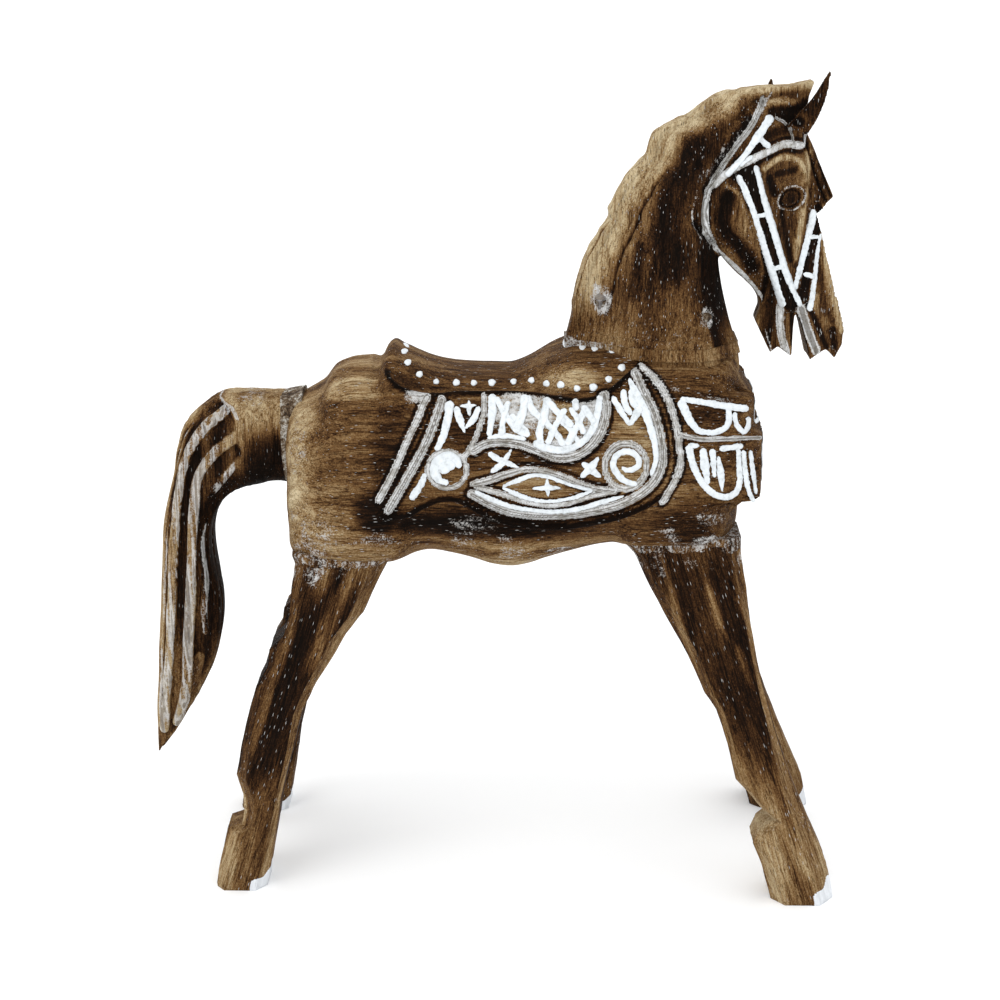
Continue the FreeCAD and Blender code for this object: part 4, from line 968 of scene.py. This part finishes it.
def putty_smear():
    """Chalky filler: pale clouds broken by brown and black specks, with a gritty, lumpy surface."""
    material, place = begun("smeared_putty")
    cloud, blot = speckle(place, 130, 5, 0.65), speckle(place, 480, 6, 0.75)
    grit = speckle(place, 1500, 3, 0.6)
    colour = tones(cloud * 1.2 + blot * 1.5 - 0.84, [
        (0.30, (0.025, 0.014, 0.007)), (0.46, (0.11, 0.065, 0.032)), (0.58, (0.28, 0.23, 0.17)),
        (0.76, (0.60, 0.58, 0.53)),
    ])
    colour = blended(step_up(grit, 0.56, 0.62), colour, (0.03, 0.02, 0.012, 1))
    height = blot * 1.3 + grit * 0.4 + cloud
    return surfaced(material, colour, blot * 0.3 + 0.6, height, 1.0, 1.2, {"Specular IOR Level": 0.2})


putty = putty_smear()
stained_putty = torched_wood("stained_putty", lightness=0.02, flecks=0.5)


def smear(name, rows, node, seed, filler, proud=0.1, wash=0.0, char=0.0):
    """A band of putty from its rings: pushed about by lumps, thinned to nothing at both ends."""
    out = skin(rows)
    share = np.linspace(0, 1, len(rows))[:, None]
    body = np.sin(np.pi * share) ** 0.6
    uneven = proud + 0.55 * lumps(rows, 7.0, seed) + 0.3 * lumps(rows, 2.6, seed + 1)
    rows = rows + out * (body * uneven - 0.9 * (1 - body))[..., None]
    finish = np.zeros(rows.shape[:2] + (4,))
    finish[..., 0], finish[..., 1], finish[..., 2] = wash, char, 0.2 * (1 - char)
    piece = block(name, rows[:, ::-1], finish[:, ::-1], filler)
    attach(piece, "root")
    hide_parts(node)


for node, shape, side, top_out, sole_out, wood, seed in LEGS:
    high = shape[0][0]
    heights = np.linspace(high - 5.0, high + 2.5, 14)
    grow = 0.2 + 0.4 * rise(heights, high - 3, high + 1)
    band = leg_section(shape, side, top_out, sole_out, seed, heights, grow)[0]
    smear("smeared_putty_" + node, band, node + "_putty", seed + 60, stained_putty, proud=-0.2, wash=0.52,
          char=0.24)

neck_band = neck_rings(np.linspace(265.5, 271.0, 12), grow=0.1)
neck_wash = 0.56 * (1 - rise(neck_band[:, ::-1, 0], 50, 90))
smear("smeared_putty_neck", neck_band[:, ::-1], "neck_putty", 71, stained_putty, proud=-0.55, wash=neck_wash)
tail_band = tail_section(np.linspace(-0.004, 0.045, 18), grow=0.5 + 1.2 * np.linspace(1, 0, 18) ** 2)[0]
smear("smeared_putty_tail_collar", tail_band, "tail_collar", 73, putty)

# ------------------------------------------------------------------ white brush strokes
# Thick water paint put on with a small round brush over the finished wood: strokes that swell and taper, rows
# of dots pressed on with the brush's end, and the outlines of the bridle, the flap and the breast tassels.

STANDOFF = 110.0
FALL = 0.25
RIBBON_POINTS = 5
DAB_POINTS = 20


def ribbons(strokes):
    """Flat ribbons along drawn lines, half a stroke's width each way, with tapered ends and frayed edges.

    Gives each ribbon's points, the last number being how far it lifts off the wood, and its faces.
    """
    wander = np.random.default_rng(12)
    fray = np.array([1, 0, 0, 0, 1])
    for order, (line, widths) in enumerate(strokes):
        path = drawn(line, 0.8)
        n = len(path)
        travel = np.gradient(path, axis=0)
        travel /= np.maximum(np.linalg.norm(travel, axis=1, keepdims=True), 1e-9)
        beside = np.column_stack([-travel[:, 1], travel[:, 0]])
        share = np.linspace(0, 1, n)
        half = np.interp(share, np.linspace(0, 1, len(widths)), widths) / 2
        half *= 1.12 + 0.14 * np.interp(share, np.linspace(0, 1, 9), wander.uniform(-1, 1, 9))
        reach = np.minimum(share, 1 - share) * n * 0.8
        half *= np.sqrt(np.clip(reach / np.maximum(half, 0.2) * 1.6 + 0.08, 0, 1))
        frayed = wander.uniform(-0.22, 0.22, (n, RIBBON_POINTS)) * fray
        across = half[:, None] * np.linspace(-1, 1, RIBBON_POINTS) + frayed
        grid = (path[:, None] + across[..., None] * beside[:, None]).reshape(-1, 2)
        i, j = np.meshgrid(np.arange(n - 1), np.arange(RIBBON_POINTS - 1), indexing="ij")
        a = i * RIBBON_POINTS + j
        faces = np.stack([a, a + 1, a + RIBBON_POINTS + 1, a + RIBBON_POINTS], axis=-1).reshape(-1, 4)
        yield np.column_stack([grid, np.full(len(grid), (order % 5) * 0.03)]), [faces]


def dabs(dots):
    """Round dabs: three rings about a middle, each higher and smaller, a little out of round."""
    turn = np.linspace(0, 2 * np.pi, DAB_POINTS, endpoint=False)
    a = np.arange(DAB_POINTS)
    b = (a + 1) % DAB_POINTS
    rings = [np.column_stack([a + k, b + k, b + k + DAB_POINTS, a + k + DAB_POINTS]) for k in (0, DAB_POINTS)]
    middle = 3 * DAB_POINTS
    fan = np.column_stack([a + 2 * DAB_POINTS, b + 2 * DAB_POINTS, np.full(DAB_POINTS, middle)])
    for order, (x, z, size) in enumerate(dots):
        wobble = size * (1 + 0.06 * np.sin(3 * turn + order) + 0.04 * np.sin(5 * turn + 2 * order))
        rims = [np.column_stack([x + share * wobble * np.cos(turn), z + share * wobble * np.sin(turn),
                                 np.full(DAB_POINTS, dome)])
                for share, dome in ((0.5, 0.0), (0.33, 0.3), (0.16, 0.45))]
        yield np.concatenate(rims + [[[x, z, 0.5]]]), rings + [fan]


def brushed(name, strokes, dots, target, across, outward, plane, material, lift=0.2, body=0.34):
    """Ribbons and dabs laid onto the carved wood from one side and given thickness.

    Each starts in an upright plane outside the horse and slides inwards and a little down, one in four,
    until it meets the wood. A point that meets nothing takes the depth of the next that does.
    """
    pieces = [*ribbons(strokes), *dabs(dots)]
    groups = [len(points) for points, _ in pieces]
    ends = np.cumsum(groups)
    flat = np.concatenate([points for points, _ in pieces])
    faces = [face for (_, own), first in zip(pieces, ends - groups)
             for part in own for face in (part + first).tolist()]
    across, outward = np.array(across, float), np.array(outward, float)
    inwards = (np.array([0, 0, -FALL]) - outward) / np.hypot(1, FALL)
    turned = np.column_stack([across, inwards, np.cross(across, inwards)])
    start = flat[:, :1] * across + plane * outward + flat[:, 1:2] * np.array([0, 0, 1]) - STANDOFF * inwards
    mesh = bpy.data.meshes.new(name)
    mesh.from_pydata(((start @ turned) * METRE).tolist(), [], faces)
    piece = placed(name, mesh)
    piece.matrix_world = Matrix(turned.tolist()).to_4x4()
    wrap = piece.modifiers.new("laid_on", "SHRINKWRAP")
    wrap.target, wrap.wrap_method, wrap.wrap_mode = target, "PROJECT", "ON_SURFACE"
    wrap.use_project_y, wrap.use_positive_direction, wrap.use_negative_direction = True, True, False
    laid = bpy.data.meshes.new_from_object(piece.evaluated_get(bpy.context.evaluated_depsgraph_get()))
    bpy.data.objects.remove(piece)
    reached = (places(laid)[0] @ turned.T - start) @ inwards
    met = reached > 1
    for low, high in zip(ends - groups, ends):
        own, hit = np.arange(low, high), np.flatnonzero(met[low:high]) + low
        reached[own] = reached[hit[np.clip(np.searchsorted(hit, own), 0, len(hit) - 1)]]
    on_wood = start + (reached - (lift + flat[:, 2]))[:, None] * inwards
    laid.vertices.foreach_set("co", (on_wood * METRE).ravel())
    if np.cross(across, (0, 0, 1)) @ outward < 0:
        laid.flip_normals()
    laid.name = name
    laid.materials.append(material)
    laid.shade_smooth()
    piece = placed(name, laid)
    thick = piece.modifiers.new("paint_body", "SOLIDIFY")
    thick.thickness, thick.offset = body * METRE, -1
    return piece


def brush_paint():
    """Chalky bluish-white paint with thin spots that grey it, and a soft uneven surface."""
    material, place = begun("white_brush_paint")
    cloud, grit = speckle(place, 420, 3, 0.6), speckle(place, 2200, 2, 0.5)
    colour = tones(cloud, [(0.30, (0.56, 0.60, 0.62)), (0.46, (0.70, 0.745, 0.775)),
                           (0.7, (0.79, 0.83, 0.86))])
    colour = blended(step_up(grit, 0.72, 0.78), colour, (0.45, 0.42, 0.38, 1))
    return surfaced(material, colour, cloud * 0.3 + 0.38, cloud + grit * 0.35, 0.5, 0.4)


white_paint = brush_paint()

FLANK_STROKES = [
    ([(-17.6, 249.4), (-18.6, 240.5), (-20.6, 232), (-23.8, 225)], [3.6, 3.6, 3.2, 2.4]),
    ([(-29, 213.8), (-31.3, 208.4), (-33.7, 204.5), (-36.4, 200.8)], [2.2, 2.8, 3.2, 3.2]),
    ([(-14.8, 246.6), (-12.6, 240), (-10.2, 233.8)], [2.2, 3.2, 0.8]),
    ([(-3.6, 246.6), (-6.2, 240.6), (-10.3, 235.8)], [2.0, 3.0, 0.8]),
    ([(-8.7, 249.6), (-8.5, 246), (-8.2, 242)], [0.8, 2.2, 0.7]),
    ([(-12.8, 246.8), (-9, 247), (-5, 247.2)], [0.8, 1.8, 0.8]),
    ([(2.4, 253), (2.6, 245), (1.2, 232)], [3.4, 3.4, 2.0]),
    ([(4.1, 251.5), (8.5, 243.5), (15.5, 235), (20.6, 232.8)], [2.8] * 3),
    ([(10.4, 249.5), (7.9, 240.6), (7.1, 232.5)], [2.4, 2.6, 3.0]),
    ([(18.3, 252.8), (17.2, 244.4), (13.6, 234)], [3.6, 3.6, 3.4]),
    ([(18.8, 252.4), (22.3, 244.6), (27.5, 240.2), (32.6, 234)], [3.0] * 3),
    ([(11.5, 243), (16, 238), (20, 233.5)], [2.6] * 2),
    ([(28.8, 251.6), (27.4, 242), (25.2, 234.6), (26.2, 228.4)], [2.8, 3.2, 2.6]),
    ([(28, 250.8), (35.1, 242.7), (41, 237.2)], [3.0] * 3),
    ([(37.4, 246), (32.3, 236.6), (29, 228.4)], [2.6] * 3),
    ([(27.6, 240), (32.6, 234.6), (37, 227.6)], [2.6] * 3), ([(41.8, 250.6), (42.5, 245)], [3.0, 2.6]),
    ([(47.3, 247), (42.8, 237.4), (38.2, 228)], [2.8] * 3), ([(45.5, 247.6), (51.4, 239)], [2.8] * 2),
    ([(39.5, 246.5), (43, 241), (46.5, 233.5)], [2.4] * 2),
    ([(34, 241), (39.5, 236), (44, 229)], [2.2] * 2),
    ([(53.6, 252.3), (52.4, 243), (49.8, 235), (44.6, 229), (36, 225.8), (27, 227.2), (22.4, 229.6)],
     [2.8, 3.2, 3.2, 3.4]),
    ([(0.4, 231.4), (7.7, 232.4), (18.8, 230.8)], [1.6, 2.4, 1.6]),
    ([(59.4, 252), (63.5, 245), (67.9, 238)], [2.0, 3.0, 1.4]),
    ([(73, 247), (70.6, 243.2), (67.9, 238)], [3.2, 3.0, 1.4]),
    ([(64.4, 255.4), (66.2, 246.6), (68.6, 243)], [2.2, 3.0, 2.4]),
    ([(68.4, 256), (70, 249), (72.6, 245)], [2.6, 4.0, 3.0]),
    ([(67.2, 260.8), (70.4, 254), (74, 246.8), (77.5, 237.1), (79.9, 228), (80.4, 220.6), (78.2, 213.4)],
     [1.6, 3.4, 3.4, 3.0, 2.8, 2.4, 1.8]),
    ([(1, 224.2), (4.5, 221.6), (8.6, 219.8), (12, 218.2), (15.6, 216.9)], [2.0, 2.6, 2.6, 2.2, 0.8]),
    ([(11.9, 225.8), (10, 222.6), (8.4, 219.8), (5.5, 217), (2, 214.6)], [0.8, 2.0, 2.8, 2.6, 1.8]),
    ([(45.4, 219.4), (48.2, 217.6), (51, 215.2), (54.6, 212.3)], [1.8, 3.2, 3.0, 1.2]),
    ([(53.2, 222.4), (51, 218.8), (48.6, 216), (45, 212.3)], [1.4, 3.2, 3.4, 1.4]),
    ([(7.7, 207.6), (14.4, 210.3), (22.3, 213.2), (28.3, 212.7), (35, 210.4), (42, 208), (50.6, 205.9)],
     [1.0, 2.4, 1.6, 1.6, 1.5, 1.6, 1.0]),
    ([(7.7, 207), (12, 204.8), (17.4, 202.5), (25.4, 200.4), (35.2, 200.7), (43, 202.6), (50.6, 205.6)],
     [1.0, 2.2, 1.8, 1.4, 1.4, 2.0, 1.0]),
    ([(22, 206.6), (28.8, 207), (35.4, 207)], [0.7, 2.6, 0.7]),
    ([(29, 211.6), (29.1, 207), (29.6, 202.7)], [0.9, 2.8, 0.7]),
    ([(-5.5, 205), (2.2, 201.2), (10.1, 198), (22.3, 195.7), (35.2, 195.2), (47, 197.3), (56, 200.3),
      (65.6, 203.2)], [1.4, 2.6, 2.2, 1.8, 1.8, 2.2, 2.4, 1.0]),
    ([(71.9, 208.9), (66.5, 210.4), (62.2, 214.2), (60.2, 219), (62.4, 223.9), (66.8, 225.3), (71.2, 223.2),
      (72.6, 219.4), (70, 216.6), (66, 216.2), (64.4, 217.6)],
     [1.6, 2.6, 2.8, 3.0, 3.0, 2.8, 2.8, 2.6, 2.2, 1.4]),
    ([(-18, 209), (-22.4, 210.4), (-24.6, 214.6), (-23, 219.6), (-18.6, 222), (-14.2, 220.2),
      (-12.6, 216.6)], [2.2, 3.4, 4.4, 4.8, 4.8, 4.4, 2.6]),
    ([(-21.6, 214), (-19, 217.4), (-14.6, 218.2)], [4.5, 4.8, 3.2]),
]
BREAST_STROKES = [
    ([(91.6, 250.4), (94.2, 244.4), (97.2, 239), (100.4, 235.6), (105, 234.6), (110, 235.2), (113.6, 237.6),
      (114.8, 241.4), (114.3, 247)], [3.6, 3.6, 3.2, 2.6, 2.2, 2.6, 2.8, 2.8, 2.4]),
    ([(91.4, 250.8), (100.9, 249.6), (112.3, 247.7), (120.4, 246.7), (124.2, 246.3)],
     [2.2, 2.6, 2.8, 3.2, 2.6]),
    ([(117.4, 244.6), (118.5, 239), (120.8, 235.8), (122.4, 234.8), (124, 236.8), (124.3, 242.4)],
     [2.2] * 6),
    ([(95.8, 228.4), (97.6, 220.8), (100.6, 213.6), (104.8, 207.6), (110, 203.6), (114.9, 202.8),
      (119.2, 205), (120.8, 209.4), (120.3, 219.5), (119.6, 227)],
     [3.0, 3.2, 3.0, 2.8, 2.8, 2.8, 2.8, 2.6, 2.4, 2.0]),
    ([(95.6, 228.6), (100.9, 228)], [2.0, 2.2]), ([(110.6, 226.6), (122, 228.2)], [2.4, 2.4]),
    ([(102.6, 227), (104, 218), (105.6, 209)], [3.0, 3.8, 1.8]),
    ([(107.2, 226.6), (108, 220), (108.8, 212.6)], [2.8, 2.6, 1.6]),
    ([(110.2, 223), (111.6, 215), (112.6, 205.4)], [1.2, 3.4, 0.6]),
    ([(122.2, 226), (123.8, 214.4), (125.8, 205.4), (128.4, 200)], [2.0, 2.2, 2.2, 1.6]),
    ([(125.6, 226), (127.6, 214), (129.6, 204)], [1.6, 2.0, 1.2]),
]
SADDLE_DOTS = [(37.8, 278, 3.0), (45.6, 276.7, 3.2), (51.5, 276.1, 3.3), (59.8, 274.9, 3.2),
               (68.9, 273.4, 3.2), (64.1, 266.2, 3.6), (57.8, 260.4, 3.3), (50.5, 256.4, 3.9),
               (42.8, 255.8, 3.2), (35.1, 257.6, 3.6), (28.3, 258.2, 3.2), (21.1, 259.9, 3.1),
               (12.5, 259.3, 3.0), (2.1, 258.7, 3.6), (-6.6, 258.5, 3.0), (-15, 258.6, 3.4),
               (-24.6, 259, 2.8), (-32.7, 262.6, 3.2), (-38.5, 268.6, 3.2), (-40.8, 274.4, 3.0)]
CHEEK_STROKES = [
    ([(117.6, 351.4), (123, 338.6), (129.9, 320.6), (136.9, 302.5), (142, 289)], [2.0, 2.4, 2.6, 2.8, 2.4]),
    ([(125.3, 355.6), (130.2, 339.6), (136.1, 322.8), (143.2, 303.6), (150.2, 289.4)],
     [2.2, 2.8, 3.0, 2.8, 2.2]),
    ([(124.6, 331.2), (131.4, 333)], [1.8, 2.0]), ([(135.4, 307.2), (141.2, 308.6)], [2.0, 2.0]),
    ([(133, 380), (126.3, 369.5), (118.6, 358.4), (112, 351)], [4.2, 3.2, 2.8, 2.0]),
    ([(126.3, 369.5), (132.3, 364.3)], [2.2, 2.4]), ([(118, 355.4), (124, 360)], [1.2, 1.6]),
]
NOSE_STROKES = [
    ([(155.4, 335), (152.4, 320.2), (149.6, 307.3), (147, 295.8)], [2.4, 2.8, 2.8, 2.0]),
    ([(158.6, 323), (157.4, 312.4), (156.4, 298.3), (154.6, 285.4)], [1.2, 1.8, 2.0, 2.4]),
    ([(152.6, 321.6), (158.2, 321.4)], [1.8, 1.6]), ([(150.8, 303.6), (156.8, 302)], [2.0, 1.8]),
]
CHEST_STROKES = [
    ([(-33, 246.6), (-12, 247.2), (10, 247.4), (33, 246.6)], [2.4, 2.8, 3.0, 2.6]),
    ([(-27, 246), (-26, 239.6), (-20, 235.2), (-12, 235.4), (-6.6, 239.4), (-5.6, 246)],
     [2.4, 2.6, 2.4, 2.6, 2.8, 2.2]),
    ([(5.4, 246), (6.4, 239.2), (13, 235.2), (20.6, 235.4), (26.2, 240), (27, 246)],
     [2.4, 2.8, 2.4, 2.6, 2.6, 2.2]),
    ([(-33, 228), (-20, 227.4), (-4, 228)], [2.0, 2.6, 2.2]),
    ([(4, 228), (18, 227.4), (33, 228)], [2.2, 2.6, 2.0]),
    ([(-29, 227.6), (-28, 214), (-22, 205.4), (-13, 204.6), (-6.4, 211), (-4.6, 227.6)],
     [2.6, 2.8, 2.6, 2.6, 2.8, 2.2]),
    ([(4.8, 227.6), (6.2, 212), (13, 204.8), (21.6, 205), (27.8, 213.4), (29, 227.6)],
     [2.4, 2.8, 2.6, 2.6, 2.8, 2.2]),
    ([(-22, 226), (-20.6, 211)], [3.2, 1.4]), ([(-15.6, 226.4), (-15, 209)], [3.0, 1.0]),
    ([(-10, 226), (-9.6, 214)], [2.4, 1.2]), ([(22.4, 226), (21, 211)], [3.2, 1.4]),
    ([(16, 226.4), (15.4, 209)], [3.0, 1.0]), ([(10.6, 226), (10.2, 214)], [2.4, 1.2]),
]

NAIL_DABS = [(54, 293.5, 5.2), (104.6, 286, 4.6)]
for word, side in (("right", -1), ("left", 1)):
    for name, strokes, dots, target, plane in (
            ("painted_flank_", FLANK_STROKES + BREAST_STROKES, SADDLE_DOTS, torso_piece, 46.5),
            ("painted_bridle_", CHEEK_STROKES, [], head_piece, 16),
            ("painted_nose_strap_", NOSE_STROKES, [], head_piece, 9)):
        piece = brushed(name + word, strokes, dots, target, (1, 0, 0), (0, side, 0), plane, white_paint)
        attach(piece, "root")
    plugs = brushed("smeared_putty_plugs_" + word, [], NAIL_DABS, head_piece, (1, 0, 0), (0, side, 0), 26,
                    putty)
    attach(plugs, "root")
    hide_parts("nail_plugs")
chest_strokes = brushed("painted_chest", CHEST_STROKES, [], torso_piece, (0, 1, 0), (1, 0, 0), 137,
                        white_paint)
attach(chest_strokes, "root")

# ------------------------------------------------------------------ hidden joinery
# Beech dowels glued across every joint, and bright wire nails slanted through the neck: all buried in wood.

def dowel_beech():
    """Pale turned beech: fine straight grain along the rod and a dull sanded surface."""
    material, place = begun("dowel_beech")
    grain = speckle(stretched(place, 0.08), 900, 4, 0.6)
    colour = tones(grain, [(0.30, (0.42, 0.28, 0.15)), (0.55, (0.58, 0.42, 0.25)),
                           (0.75, (0.68, 0.53, 0.35))])
    return surfaced(material, colour, 0.65, grain, 0.4, 0.3)


def drawn_wire():
    """Bright drawn steel wire: metal, faintly scratched, with its gloss broken by a thin uneven oil film."""
    material, place = begun("drawn_steel_wire")
    film = speckle(place, 700, 4, 0.6)
    colour = tones(film, [(0.30, (0.36, 0.36, 0.37)), (0.70, (0.60, 0.60, 0.61))])
    return surfaced(material, colour, film * 0.35 + 0.18, film, 0.25, 0.2, {"Metallic": 1.0})


beech, wire = dowel_beech(), drawn_wire()
for node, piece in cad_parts.items():
    finish = wire if "nails" in node else beech if "dowel" in node else None
    if finish:
        for place in piece.material_slots:
            place.material = finish

# ------------------------------------------------------------------ stage
# A wide matt white floor that meets an even white sky, one soft light from the horse's right and one from
# above. The floor glows very slightly, as paper lit from all round does, so that only the hooves shade it.

floor_mesh = bpy.data.meshes.new("floor")
floor_mesh.from_pydata([(-40, -40, 0), (40, -40, 0), (40, 40, 0), (-40, 40, 0)], [], [(0, 1, 2, 3)])
floor = placed("floor", floor_mesh)
floor_paint = bpy.data.materials.new("studio_white")
floor_paint.use_nodes = True
for key, value in {
        "Base Color": (0.96, 0.965, 0.97, 1), "Emission Color": (0.90, 0.97, 1.0, 1),
        "Emission Strength": 0.06, "Roughness": 0.9, "Specular IOR Level": 0.1}.items():
    floor_paint.node_tree.nodes["Principled BSDF"].inputs[key].default_value = value
floor_mesh.materials.append(floor_paint)

world = bpy.data.worlds.new("studio")
world.use_nodes = True
for key, value in {"Color": (1, 1, 1, 1), "Strength": 1.0}.items():
    world.node_tree.nodes["Background"].inputs[key].default_value = value
bpy.context.scene.world = world
bpy.context.scene.view_settings.view_transform = "Standard"


def wide_light(name, source, spread, strength):
    """A broad even studio light from one side of the sky, as wide across as spread degrees."""
    lamp = bpy.data.lights.new(name, "SUN")
    lamp.energy, lamp.angle = strength, np.radians(spread)
    light = placed(name, lamp)
    light.rotation_euler = Vector(source).to_track_quat("Z", "Y").to_euler()


wide_light("key_light", (-0.55, -0.65, 1.0), 40, 0.75)
wide_light("top_light", (0.1, 0.4, 1.2), 90, 0.5)

lens = bpy.data.cameras.new("camera")
lens.lens = 75.02
lens.sensor_width = 36.0
lens.clip_start = 0.05
camera = placed("camera", lens)
camera.location = (0.0251, -1.0, 0.48634)
camera.rotation_euler = (np.radians(90 - 16.668), 0, np.radians(1.117))
bpy.context.scene.camera = camera
